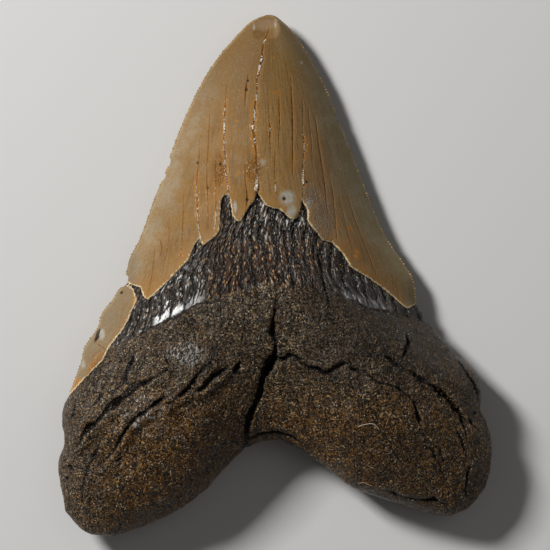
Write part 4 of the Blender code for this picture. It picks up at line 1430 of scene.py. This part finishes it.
@dataclass(frozen=True)
class EnamelFinish:
    """Satin enamel: tan in the middle, greyer towards the edges, streaked lengthwise."""

    tan: Colour = (0.27, 0.132, 0.015)
    shaded: Colour = (0.245, 0.145, 0.062)
    centre: Colour = (0.35, 0.205, 0.062)
    left: Colour = (0.335, 0.22, 0.105)
    right: Colour = (0.28, 0.225, 0.115)
    olive: Colour = (0.175, 0.11, 0.042)
    upper: Colour = (0.175, 0.088, 0.014)
    lower_left: Colour = (0.225, 0.165, 0.090)
    streak: Colour = (0.13, 0.065, 0.02)
    amber: Colour = (0.29, 0.125, 0.018)
    mist: Colour = (0.37, 0.32, 0.225)
    seam: Colour = (0.10, 0.038, 0.008)
    honey: Colour = (0.36, 0.17, 0.035)
    cream: Colour = (0.80, 0.62, 0.36)
    rust: Colour = (0.38, 0.155, 0.018)
    pale: Colour = (0.42, 0.40, 0.34)
    worn: Colour = (0.35, 0.235, 0.14)
    edging: Colour = (0.60, 0.42, 0.20)
    mineral: Colour = (0.85, 0.78, 0.66)
    dirt_and_shade: Colour = (0.030, 0.016, 0.008)

    def coat(self, ground: Ground) -> Coat:
        """Build the coat.

        Args:
            ground: What the coats share.

        Returns:
            The coat.
        """
        graph, fine, patches = ground.graph, ground.fine, ground.patches
        x, y, stretched = ground.x, ground.y, ground.run.drawn_out(1.0, 0.06)
        broad = ground.spot.noise(0.09, 3.0, 0.55)
        streaks = stretched.noise(0.9, 4.0, 0.65)
        threads = stretched.noise(2.6, 3.0, 0.6)
        edge = graph["edge"]
        rim = graph.mixed(x.ramp(-12.0, 18.0), self.left, self.right)
        inward = (edge + broad * 9.0).ramp(5.0, 13.5)
        # Painted shade: right of the crest the tan turns to its shaded tint, a shaded copy of the
        # enamel colour.
        colour = rim.mixed(inward, graph.mixed(x.ramp(0.0, 9.0), self.tan, self.shaded))
        colour = colour.mixed(broad.ramp(0.48, 0.66) * 0.35 * inward, self.olive)
        colour = colour.mixed(patches.ramp(0.4, 0.8, 0.0, 0.35), rim)
        cloud = ground.spot.noise(0.2, 3.0, 0.55)
        cloud = cloud.ramp(0.46, 0.6, 0.0, 0.45) * inward.ramp(1.0, 0.0, 0.3)
        colour = colour.mixed(cloud, self.mist)
        # Partly the crown's own warmer middle and partly painted light that lifts the shade right
        # of the crest; the darker top fades out right of the crest as painted light too.
        middle = x.ramp(-8.0, -3.0) * x.ramp(14.0, 3.0) * 0.6
        colour = colour.mixed(middle, self.centre)
        top = y.ramp(34.0, 62.0) * x.ramp(-3.0, 2.0, 1.0, 0.25)
        colour = colour.mixed(top, self.upper)
        flank = x.ramp(-35.0, -39.0)
        colour = colour.mixed(flank * 0.8, self.lower_left)
        inner = edge.ramp(3.0, 10.0, 0.15) * y.ramp(60.0, 38.0, 0.15)
        low = graph["border"].ramp(13.0, 3.0) * edge.ramp(1.5, 5.0)
        seeped = stretched.noise(1.6, 4.0, 0.7).ramp(0.48, 0.6, 0.0, 0.65)
        seeped = seeped * (inner * x.ramp(16.0, 0.0, 0.4)).at_least(low)
        colour = colour.mixed(seeped, self.amber)
        colour = colour.mixed(streaks.ramp(0.5, 0.66, 0.0, 0.5) * inner, self.streak)
        grained = (inner * x.ramp(-24.0, 4.0, 0.55)).at_least(low)
        grained = threads.ramp(0.54, 0.64, 0.0, 0.65) * grained
        colour = colour.mixed(grained, self.streak)
        mottle = ground.spot.noise(1.7, 5.0, 0.75)
        colour = colour.mixed(mottle.ramp(0.52, 0.66, 0.0, 0.4), self.streak)
        colour = colour.mixed(mottle.ramp(0.46, 0.34, 0.0, 0.22), self.pale)
        near = graph["border"] + (patches - 0.5) * 6.0
        honey = near.ramp(4.0, 0.4, 0.0, 0.6) * edge.ramp(1.0, 5.0)
        honey = honey * streaks.ramp(0.35, 0.6, 0.4) * flank.ramp(0.0, 1.0, 1.0, 0.25)
        colour = colour.mixed(honey, self.honey)
        return self.spotted(ground, colour, streaks)

    def spotted(self, ground: Ground, colour: Wire, streaks: Wire) -> Coat:
        """Stain the enamel, then draw its veins and its pale broken rim.

        Args:
            ground: What the coats share.
            colour: The enamel's colour so far.
            streaks: Its lengthwise streaks.

        Returns:
            The coat.
        """
        graph, fine, patches = ground.graph, ground.fine, ground.patches
        flake = graph["flake"] * fine.ramp(0.42, 0.6)
        colour = colour.mixed(flake * 0.5, self.pale)
        stained = graph["stain"] + graph["rust"]
        rust = (stained * (streaks + fine)).ramp(0.25, 0.95, 0.0, 0.85)
        colour = colour.mixed(rust, self.rust)
        middle, own = ground.spot.drawn_out(1.0, 0.6).grains(2.4)
        flecks = own.ramp(0.76, 0.84) * middle.ramp(0.55, 0.3) * stained.ramp(0.25, 0.8)
        colour = colour.mixed(flecks * 0.65, self.cream)
        worn = graph["worn"] * fine.ramp(0.3, 0.6, 0.5)
        colour = colour.mixed(worn * 0.7, self.worn)
        edging = graph["edge"].ramp(0.9, 0.15) * fine.ramp(0.47, 0.56) * graph["lingual"]
        colour = colour.mixed(edging * 0.7, self.edging)
        halo = graph["halo"] * patches.ramp(0.35, 0.6, 0.45)
        colour = colour.mixed(halo, self.pale)
        colour = colour.mixed(fine.ramp(0.35, 0.7, 0.0, 0.3), self.olive)
        rim = (ground.border + fine * 1.3).ramp(1.1, 0.8)
        colour = colour.mixed(rim * 0.9, self.cream)
        width, near = graph["vein_half"], graph["vein_near"] - 0.4
        half = width.at_least(0.06)
        side = graph["vein_side"] + ground.wobble(1.8, 0.3)
        gap = abs(side).at_least(near)
        line = (gap / half).ramp(1.4, 0.3) * width.ramp(0.06, 0.24, 0.35, 0.95)
        line = line * fine.ramp(0.3, 0.5, 0.45)
        seep = gap.ramp(1.3, 0.3) * streaks.ramp(0.4, 0.6, 0.25)
        colour = colour.mixed(seep * width.ramp(0.08, 0.24, 0.15, 0.65), self.rust)
        faint = width.ramp(0.2, 0.38)
        colour = colour.mixed(line, graph.mixed(faint, self.seam, self.dirt_and_shade))
        beads = graph["mineral"] * 0.6 + ground.spot.noise(1.0, 3.0, 0.7)
        offset = abs(side + half * 0.5).at_least(near)
        filled = beads.ramp(0.93, 1.0) * (offset / half).ramp(1.3, 0.7)
        colour = colour.mixed(filled * 0.95, self.mineral)
        # Painted shade in the cracks and pits.
        colour = ground.cracked(colour, self.dirt_and_shade)
        rough = fine.ramp(0.3, 0.7, 0.6, 0.72) + worn * 0.15
        height = fine * (flake * 0.4 + 0.05) + streaks * 0.12 + line * -0.2 + filled * 0.3
        return Coat(colour, rough, height)


@dataclass(frozen=True)
class BandFinish:
    """The dark, glossy band below the crown, ridged lengthwise and beaded."""

    black: Colour = (0.012, 0.010, 0.008)
    slate: Colour = (0.068, 0.062, 0.055)
    charcoal: Colour = (0.036, 0.032, 0.029)
    brown: Colour = (0.09, 0.033, 0.010)
    umber: Colour = (0.022, 0.009, 0.004)
    tan: Colour = (0.72, 0.42, 0.18)
    painted_glint: Colour = (0.75, 0.71, 0.64)
    painted_reflection: Colour = (0.92, 0.92, 0.90)
    spacing: float = 2.7
    reflection_strips: tuple[tuple[float, float, float], ...] = (
        (-33.0, -23.2, 1.0), (-25.0, -18.2, 0.45), (17.0, 32.0, 0.15))
    strip_rise: tuple[float, float] = (0.1, 3.2)

    def polish_and_reflection(self, ground: Ground) -> Wire:
        """Mark the smooth strips at both ends of the band's lower margin, as torn shards that
        carry a painted reflection of the light.

        Args:
            ground: What the coats share.

        Returns:
            Where they are, 0 to 1.
        """
        strips = [ground.x.ramp(low, low + 2.0) * ground.x.ramp(high, high - 2.0) * strength
                  for low, high, strength in self.reflection_strips]
        low, high = self.strip_rise
        rise = ground.graph["band"] + ground.wobble(0.8, 1.2)
        torn = ground.run.drawn_out(1.5, 0.35).noise(1.0, 4.0, 0.65)
        shards = torn + rise.ramp(low, high, 0.13, -0.11)
        strip = sum(strips[1:], strips[0]).at_most(1.0)
        return strip * rise.ramp(low - 0.2, low + 0.2) * shards.ramp(0.45, 0.52)

    def coat(self, ground: Ground) -> Coat:
        """Build the coat.

        Args:
            ground: What the coats share.

        Returns:
            The coat.
        """
        graph, fine, patches = ground.graph, ground.fine, ground.patches
        x, y, polish_and_reflection = ground.x, ground.y, self.polish_and_reflection(ground)
        gap, own = ground.run.drawn_out(2.3, 1.0).grains(1.0)
        rows = graph.rows(ground.spot, self.spacing)
        middle = x.ramp(-24.0, -8.0) * x.ramp(24.0, 10.0) * y.ramp(13.0, 5.0, 0.15)
        colour = graph.mixed((own + fine).ramp(0.75, 1.35), self.black, self.slate)
        warm = own.ramp(0.3, 0.55) * middle.ramp(0.0, 1.0, 0.12, 0.8)
        colour = colour.mixed(warm, self.brown)
        low = y.ramp(7.0, 2.0) * x.ramp(-24.0, -12.0) * x.ramp(16.0, 8.0)
        colour = colour.mixed(low * 0.4, self.umber)
        core = gap.ramp(0.55, 0.3)
        share = own.ramp(0.76, 0.86) * core * middle.ramp(0.0, 1.0, 0.3, 0.85)
        colour = colour.mixed(share, self.tan)
        # Painted glints: silver on some bead cores, most of them at the band's sides.
        share = own.ramp(0.18, 0.1) * core * middle.ramp(0.0, 1.0, 0.75, 0.15)
        colour = colour.mixed(share, self.painted_glint)
        # Painted glints: a stretched pattern of silver over the band's upper middle.
        glints = ground.run.drawn_out(1.5, 0.3).noise(1.0, 2.0, 0.6)
        top = x.ramp(-14.0, -5.0) * x.ramp(13.0, 5.0) * y.ramp(7.0, 14.0, 0.25)
        colour = colour.mixed(glints.ramp(0.57, 0.63) * top * 0.9, self.painted_glint)
        quiet = x.ramp(8.0, 15.0) * patches.ramp(0.35, 0.55, 0.4, 0.85)
        colour = colour.mixed(quiet, self.charcoal)
        valley = (rows + fine * 0.25).ramp(0.43, 0.25)
        colour = colour.mixed(valley * 0.95, self.black)
        # Painted reflection: the light's reflection as bright torn shards on the smooth strips.
        colour = colour.mixed(polish_and_reflection * 0.95, self.painted_reflection)
        # Painted shade in the cracks and pits.
        colour = ground.cracked(colour, self.black)
        rough = fine.ramp(0.3, 0.7, 0.16, 0.34) - polish_and_reflection * 0.08
        calm = 1.0 - (polish_and_reflection * 0.9).at_least(quiet * 0.6)
        height = calm * (valley * -0.3 + gap * -0.5 + own * 0.15 + fine * 0.2)
        return Coat(colour, rough, height)


@dataclass(frozen=True)
class RootFinish:
    """Granular dark brown root, warmer over the lobes, flecked with sediment."""

    dark: Colour = (0.012, 0.008, 0.005)
    brown: Colour = (0.145, 0.084, 0.034)
    grey: Colour = (0.132, 0.104, 0.070)
    warm: Colour = (0.175, 0.076, 0.012)
    tan: Colour = (0.58, 0.365, 0.155)
    gold: Colour = (0.60, 0.29, 0.058)
    painted_sheen: Colour = (0.55, 0.52, 0.46)
    pale: Colour = (0.75, 0.62, 0.42)
    crack_shade: Colour = (0.006, 0.004, 0.003)

    def coat(self, ground: Ground) -> Coat:
        """Build the coat.

        Args:
            ground: What the coats share.

        Returns:
            The coat.
        """
        graph, patches, x, y = ground.graph, ground.patches, ground.x, ground.y
        broad = ground.spot.noise(0.07, 3.0, 0.5)
        lumps = ground.spot.noise(1.3, 3.0, 0.7)
        gap, own = ground.spot.grains(3.3)
        lower = (y + broad * 34.0).ramp(-6.0, -24.0)
        lower = lower * x.ramp(-50.0, -36.0, 0.35) * x.ramp(18.0, 34.0, 1.0, 0.65)
        colour = graph.mixed(patches.ramp(0.35, 0.65), self.brown, self.grey)
        colour = colour.mixed(lower * patches.ramp(0.65, 0.4, 0.35), self.warm)
        tone_and_shade = own * 0.6 + lumps
        colour = colour.mixed(tone_and_shade.ramp(0.9, 0.62, 0.0, 0.95), self.dark)
        creases = ground.run.drawn_out(1.0, 0.45).noise(0.42, 3.0, 0.6, 0.6)
        creased = abs(creases - 0.5).ramp(0.026, 0.006) * patches.ramp(0.33, 0.47)
        upper = y.ramp(-34.0, -22.0) * x.ramp(-6.0, -16.0, 0.4)
        wrinkles = ground.run.drawn_out(1.0, 0.4).noise(0.85, 3.0, 0.6, 0.8)
        wrinkled = abs(wrinkles - 0.5).ramp(0.035, 0.012)
        creased = creased.at_least(wrinkled * upper * 0.7)
        colour = colour.mixed(creased * 0.85, self.dark)
        # Painted reflection: on the root the spots of the second kind are a glossy patch and the
        # rolls' ridges, darkened and dotted with painted glints in a stretched pattern.
        glint_pattern = ground.run.drawn_out(1.0, 0.6).noise(1.9, 3.0, 0.7, 0.8)
        halo = graph["halo"] * patches.ramp(0.36, 0.5, 0.3)
        colour = colour.mixed(halo * 0.6, self.dark)
        gloss_and_glints = halo * glint_pattern.ramp(0.51, 0.56)
        colour = colour.mixed(gloss_and_glints * 0.95, self.painted_sheen)
        bright = graph.mixed(lower * patches.ramp(0.65, 0.45, 0.3), self.tan, self.gold)
        strewn = (patches + broad * 0.5).ramp(0.55, 0.85, 0.3)
        strewn = strewn * upper.ramp(0.0, 1.0, 1.0, 0.6)
        colour = colour.mixed(tone_and_shade.ramp(0.97, 1.12, 0.0, 0.9) * strewn, bright)
        crumbs = own.ramp(0.955, 0.965) * gap.ramp(0.55, 0.4) * patches.ramp(0.42, 0.56)
        colour = colour.mixed(crumbs, self.pale)
        colour = colour.mixed(gap.ramp(0.5, 0.78, 0.0, 0.7), self.dark)
        # Painted shade: the right side of the neck and shoulder, the middle of the right lobe and
        # the lower left flank are darkened.
        neck = x.ramp(2.0, 12.0, 0.0, 0.45) * y.ramp(-36.0, -24.0)
        shoulder = x.ramp(12.0, 28.0, 0.0, 0.15) * y.ramp(-28.0, -18.0)
        lobe = x.ramp(14.0, 24.0) * x.ramp(46.0, 38.0) * y.ramp(-38.0, -44.0) * 0.25
        flank = x.ramp(-43.0, -52.0, 0.0, 0.3) * y.ramp(-60.0, -50.0, 0.2)
        for tone_and_shade in (neck + shoulder, lobe, flank):
            colour = colour.mixed(tone_and_shade, self.dark)
        # Painted shade in the cracks and pits.
        colour = ground.cracked(colour, self.crack_shade)
        rough = own.ramp(0.0, 1.0, 0.16, 0.38) - gloss_and_glints * 0.1
        height = gap * -0.14 + own * 0.06 + lumps * 0.22 + patches * 0.45 + creased * -0.35
        return Coat(colour, rough, height)


@dataclass(frozen=True)
class ToothFinish:
    """Enamel, ridged band and root in one material, parted by the stored numbers."""

    enamel: EnamelFinish = EnamelFinish()
    band: BandFinish = BandFinish()
    root: RootFinish = RootFinish()
    bump: float = 1.0
    sheen_level: float = 0.35

    def material(self) -> Material:
        """Build the material.

        Returns:
            The material.
        """
        made, graph = new_material("fossil_tooth")
        ground = Ground(graph)
        coat = self.root.coat(ground)
        coat = self.band.coat(ground).over(ground.band.ramp(-0.5, 0.5), coat)
        coat = self.enamel.coat(ground).over(ground.border.ramp(-0.06, 0.06), coat)
        ports = {"Height": coat.height, "Distance": MM, "Strength": self.bump}
        normal = graph.out("ShaderNodeBump", ports)
        ports = {"Base Color": coat.colour, "Roughness": coat.roughness, "Normal": normal,
                 "Specular IOR Level": self.sheen_level}
        shader = graph.out("ShaderNodeBsdfPrincipled", ports)
        graph.node("ShaderNodeOutputMaterial", {"Surface": shader})
        return made


# ---------------------------------------------------------------- fine pieces
@dataclass(frozen=True)
class Palette:
    """Finish of small loose things, coloured by a number of their own."""

    name: str
    steps: tuple[tuple[float, Colour], ...]
    roughness: float = 0.6

    def material(self) -> Material:
        """Build the material.

        Returns:
            The material.
        """
        made, graph = new_material(self.name)
        tone = graph["tone"]
        spot = graph.out("ShaderNodeTexCoord", port="Object").scaled(1.0 / MM)
        colour = self.steps[0][1]
        for place, step in self.steps[1:]:
            colour = graph.mixed(tone.ramp(place - 0.04, place + 0.04), colour, step)
        grime = spot.noise(3.0, 2.0, 0.6).ramp(0.35, 0.7, 0.7, 1.1)
        colour = graph.mixed(1.0, colour, graph.combined(grime, grime, grime), "MULTIPLY")
        ports = {"Base Color": colour, "Roughness": self.roughness, "Specular IOR Level": 0.3}
        shader = graph.out("ShaderNodeBsdfPrincipled", ports)
        graph.node("ShaderNodeOutputMaterial", {"Surface": shader})
        return made


class Surface:
    """The finished tooth, on which the fine pieces are laid."""

    cast_height = 0.1    # metres, above every point of the tooth

    def __init__(self, piece: Object) -> None:
        """Index the piece's faces.

        Args:
            piece: The finished tooth.
        """
        self.piece = piece
        data = piece.data
        spots = [vertex.co.copy() for vertex in data.vertices]
        self.tree = BVHTree.FromPolygons(spots, [tuple(face.vertices) for face in data.polygons])

    def lay(self, place: Array, lift: float = 0.0) -> Array:
        """Lay points on the tooth from above.

        Args:
            place: Rows of x and y in outline units.
            lift: Height above the surface in outline units.

        Returns:
            Rows of x, y and z in metres; points beside the tooth are left out.
        """
        found = []
        for x, y in place[:, :2] * MM:
            above = Vector((x, y, self.cast_height))
            hit, _, _, _ = self.tree.ray_cast(above, Vector((0.0, 0.0, -1.0)))
            if hit is not None:
                found.append((x, y, hit.z + lift * MM))
        return np.array(found)


def strands(name: str, lines: Sequence[Array]) -> Object:
    """Make an object of open lines.

    Args:
        name: Name of the object.
        lines: For each line rows of x, y, z and two numbers kept as size and amount.

    Returns:
        The object, in the scene.
    """
    rows = np.vstack(lines)
    starts = np.cumsum([0] + [len(line) for line in lines])
    links = [(place, place + 1) for start, end in zip(starts, starts[1:])
             for place in range(start, end - 1)]
    data = bpy.data.meshes.new(name)
    data.from_pydata(rows[:, :3].tolist(), links, [])
    for column, label in ((3, "size"), (4, "amount"), (4, "tone")):
        store(data, label, rows[:, column])
    return linked(name, data)


@dataclass(frozen=True)
class Beads:
    """Small rounded bodies set along lines at an even pitch."""

    name: str
    pitch: float
    jitter: float
    flatness: float
    least: float
    seed: int

    def tree(self, material: Material) -> Growth:
        """Describe the beads along the host's lines.

        Args:
            material: Their finish.

        Returns:
            The tree.
        """
        dials = (Dial("Pitch", self.pitch * MM), Dial("Jitter", self.jitter * MM),
                 Dial("Flatness", self.flatness), Dial("Least", self.least),
                 Dial("Seed", self.seed, "NodeSocketInt"))
        growth = Growth(self.name, dials, material)
        graph, dial = growth.graph, growth.inputs
        seed = dial["Seed"]
        curve = graph.out("GeometryNodeMeshToCurve", {"Mesh": dial["Geometry"]})
        ports = {"Curve": curve, "Length": dial["Pitch"]}
        even = graph.out("GeometryNodeResampleCurve", ports, mode="LENGTH")
        points = graph.out("GeometryNodeCurveToPoints", {"Curve": even}, mode="EVALUATED")
        ports = {"Min": (-1.0, -1.0, 0.0), "Max": (1.0, 1.0, 0.3), "Seed": seed}
        shift = graph.out("FunctionNodeRandomValue", ports, data_type="FLOAT_VECTOR")
        ports = {"Geometry": points, "Offset": shift.scaled(dial["Jitter"])}
        points = graph.out("GeometryNodeSetPosition", ports)
        own, span, turn, tone = (graph.chance(seed + step) for step in (1, 2, 3, 4))
        gone = graph.out("FunctionNodeCompare", {0: own, 1: graph["amount"]},
                         operation="GREATER_THAN")
        points = graph.out("GeometryNodeDeleteGeometry", {0: points, 1: gone})
        least = dial["Least"]
        size = graph.math("MULTIPLY_ADD", span, 1.0 - least, least) * graph["size"]
        scale = graph.combined(size, size, size * dial["Flatness"])
        growth.finish(graph.balls(points, graph.combined(0.3, 0.3, turn), scale, tone))
        return growth

    def string(self, lines: Sequence[Array], palette: Palette) -> Object:
        """Set the beads along lines and hand the finished piece over.

        Args:
            lines: For each line rows of x, y, z, size and amount.
            palette: Their finish.

        Returns:
            The piece.
        """
        host = strands(self.name, lines)
        self.tree(palette.material()).grow(host)
        return hand_over(bake(host, self.name))


@dataclass(frozen=True)
class Serrations:
    """The fine teeth of both cutting edges."""

    body: ToothBody
    size: float = 0.36
    inset: float = 0.12
    ends: tuple[float, float] = (0.78, 0.597)
    start: float = 0.02
    full_size: float = 0.1
    samples: int = 160
    beads: Beads = Beads("serrations", pitch=0.8, jitter=0.06, flatness=1.3, least=0.7, seed=11)

    def build(self) -> Object:
        """Build the teeth.

        Returns:
            The piece.
        """
        lines = []
        for edge, end in zip((0.0, 1.0), self.ends):
            down = np.linspace(self.start, end, self.samples)
            across = np.full(len(down), edge)
            place = self.body.outline.plan(across, down)
            height = profile(self.body.relief.rim_height, down)
            place = self.body.chips(place, height, across)
            place[:, 0] += self.inset if edge == 0.0 else -self.inset
            size = self.size * ease(down, 0.0, self.full_size) * MM
            lines.append(np.column_stack([place * MM, height * MM, size, np.ones(len(down))]))
        enamel = EnamelFinish()
        palette = Palette("edge_enamel", ((0.0, enamel.left), (0.35, enamel.worn),
                                          (0.6, enamel.edging), (0.85, enamel.right)), 0.5)
        return self.beads.string(lines, palette)


@dataclass(frozen=True)
class VeinMineral:
    """Pale mineral grains that fill the cracks of the crown."""

    surface: Surface
    size: float = 0.75
    lift: float = 0.02
    least_fill: float = 0.3
    beads: Beads = Beads("vein_mineral", pitch=0.34, jitter=0.14, flatness=0.6, least=0.3, seed=23)

    def build(self) -> Object:
        """Build the grains.

        Returns:
            The piece.
        """
        lines = []
        veins = [line for line in LINES if line.mark is Mark.VEIN]
        for line in veins:
            if max(fill for _, _, _, fill, _ in line.points) > self.least_fill:
                path = line.path()
                laid = self.surface.lay(path, self.lift)
                size = self.size * path[:, 2] * MM
                lines.append(np.column_stack([laid, size, path[:, 3] ** 2]))
        enamel = EnamelFinish()
        palette = Palette("vein_mineral", ((0.0, enamel.mineral), (0.72, enamel.worn),
                                           (0.88, enamel.honey)), 0.7)
        return self.beads.string(lines, palette)


@dataclass(frozen=True)
class Grit:
    """Sediment grains that stick to the root and the band."""

    surface: Surface
    dials: tuple[Dial, ...] = (
        Dial("Root Density", 5.5e5), Dial("Band Density", 4.5e5), Dial("Least Size", 0.1),
        Dial("Largest Size", 0.26), Dial("Unit", MM), Dial("Seed", 5, "NodeSocketInt"))
    palette: Palette = Palette("sediment", (
        (0.0, (0.10, 0.055, 0.022)), (0.3, (0.40, 0.24, 0.10)), (0.62, (0.42, 0.15, 0.03)),
        (0.78, (0.66, 0.52, 0.32)), (0.93, (0.30, 0.29, 0.28))), 0.35)

    def build(self) -> Object:
        """Build the grains on a copy of the tooth's surface.

        Returns:
            The piece.
        """
        host = linked("grit", self.surface.piece.data.copy())
        host.data.materials.clear()
        self.tree().grow(host)
        return hand_over(bake(host, "grit"))

    def tree(self) -> Growth:
        """Describe the scattered grains.

        Returns:
            The tree.
        """
        growth = Growth("scattered_grit", self.dials, self.palette.material())
        graph, dial = growth.graph, growth.inputs
        bare = graph["border"].ramp(-0.3, -0.8)
        ridged = graph["band"].ramp(-0.5, 0.5)
        open_ground = graph["crack_near"].ramp(0.5, 1.0, 0.3)
        density = (1.0 - ridged) * dial["Root Density"] + ridged * dial["Band Density"]
        density = density * bare * open_ground * graph["lingual"]
        seed, least = dial["Seed"], dial["Least Size"]
        ports = {"Mesh": dial["Geometry"], "Density": density, "Seed": seed}
        points = graph.out("GeometryNodeDistributePointsOnFaces", ports, "Points")
        first, *others = (graph.chance(seed + step) for step in range(4))
        size = graph.math("MULTIPLY_ADD", first ** 3.0, dial["Largest Size"] - least, least)
        size = size * dial["Unit"]
        scale = graph.combined(size, size * 0.75, size * 0.6)
        growth.finish(graph.balls(points, graph.combined(*others), scale, others[1]))
        return growth


@dataclass(frozen=True)
class Lint:
    """Thin pale fibres caught on the root."""

    surface: Surface
    fibres: tuple[Points, ...] = (
        ((22.0, -40.2), (23.8, -39.6), (25.8, -39.4), (27.0, -40.2), (27.6, -41.0)),
        ((-27.7, -51.8), (-27.6, -53.2)),
        ((22.2, -55.7), (23.4, -55.3), (24.6, -55.7), (25.8, -56.3)),
        ((25.1, -49.7), (24.7, -50.6), (26.2, -51.4)),
        ((29.4, -39.6), (30.0, -38.2)),
        ((-22.1, -29.2), (-21.5, -29.7), (-21.0, -30.7)))
    palette: Palette = Palette("fibre", ((0.0, (0.60, 0.36, 0.17)), (0.5, (0.80, 0.70, 0.52))))
    whitest: int = 2
    radius: float = 0.075
    lift: float = 0.18

    def build(self) -> Object:
        """Build the fibres.

        Returns:
            The piece.
        """
        dials = (Dial("Radius", self.radius * MM), Dial("Corners", 6, "NodeSocketInt"))
        growth = Growth("lint_fibres", dials, self.palette.material())
        graph, dial = growth.graph, growth.inputs
        curve = graph.out("GeometryNodeMeshToCurve", {"Mesh": dial["Geometry"]})
        ports = {"Resolution": dial["Corners"], "Radius": dial["Radius"]}
        ring = graph.out("GeometryNodeCurvePrimitiveCircle", ports)
        ports = {"Curve": curve, "Profile Curve": ring, "Fill Caps": True}
        growth.finish(graph.out("GeometryNodeCurveToMesh", ports))
        lines = []
        for place, fibre in enumerate(self.fibres):
            laid = self.surface.lay(smooth_curve(fibre, 6), self.lift)
            white = float(place < self.whitest)
            lines.append(np.column_stack([laid, np.ones(len(laid)), np.full(len(laid), white)]))
        host = strands("lint", lines)
        growth.grow(host)
        return hand_over(bake(host, "lint"))


# ---------------------------------------------------------------- studio
@dataclass(frozen=True)
class Light:
    """A soft square light that faces the tooth."""

    name: str
    place: tuple[float, float, float]
    size: float
    power: float

    def hang(self) -> None:
        """Hang the light."""
        lamp = bpy.data.lights.new(self.name, "AREA")
        lamp.size = self.size
        lamp.energy = self.power
        made = linked(self.name, lamp)
        made.location = self.place
        made.rotation_euler = (-Vector(self.place)).to_track_quat("-Z", "Y").to_euler()


@dataclass(frozen=True)
class Studio:
    """Plain pale floor, soft lights and the camera that looks straight down."""

    view_width: float = 0.1485
    lens: float = 300.0
    sensor: float = 36.0
    floor_size: float = 6.0
    paper: Colour = (0.78, 0.77, 0.75)
    paper_roughness: float = 0.9
    ambient: float = 0.05
    lights: tuple[Light, ...] = (
        Light("key", (-0.62, 0.50, 0.62), 0.22, 10.2), Light("fill", (0.5, 0.1, 0.9), 0.9, 0.6))

    def build(self) -> None:
        """Set the stage, the lights and the camera."""
        self.floor()
        for light in self.lights:
            light.hang()
        world = bpy.data.worlds.new("studio")
        world.use_nodes = True
        sky = world.node_tree.nodes["Background"].inputs
        sky["Color"].default_value = (1.0, 1.0, 1.0, 1.0)
        sky["Strength"].default_value = self.ambient
        bpy.context.scene.world = world
        bpy.context.scene.view_settings.view_transform = "Standard"
        self.camera()

    def floor(self) -> None:
        """Lay the floor."""
        half = 0.5 * self.floor_size
        corners = [(-half, -half, 0.0), (half, -half, 0.0), (half, half, 0.0), (-half, half, 0.0)]
        data = bpy.data.meshes.new("floor")
        data.from_pydata(corners, [], [(0, 1, 2, 3)])
        material = bpy.data.materials.new("pale_paper")
        material.use_nodes = True
        shader = material.node_tree.nodes["Principled BSDF"].inputs
        shader["Base Color"].default_value = (*self.paper, 1.0)
        shader["Roughness"].default_value = self.paper_roughness
        data.materials.append(material)
        linked("floor", data)

    def camera(self) -> None:
        """Place the camera above the tooth, with the tip up in its view."""
        lens = bpy.data.cameras.new("camera")
        lens.lens = self.lens
        lens.sensor_width = self.sensor
        lens.sensor_fit = "HORIZONTAL"
        made = linked("camera", lens)
        made.location = (0.0, 0.0, self.view_width * self.lens / self.sensor)
        bpy.context.scene.camera = made


def main() -> None:
    """Build the tooth, its fine pieces and the studio."""
    logging.basicConfig(level=logging.INFO, format="%(name)s %(message)s")
    outline, relief, enamel = Outline(), Relief(), EnamelEdge()
    body = ToothBody(outline, relief, enamel)
    surface = Surface(body.build(ToothFinish()))
    Serrations(body).build()
    VeinMineral(surface).build()
    Grit(surface).build()
    Lint(surface).build()
    Studio().build()


if __name__ == "__main__":
    main()
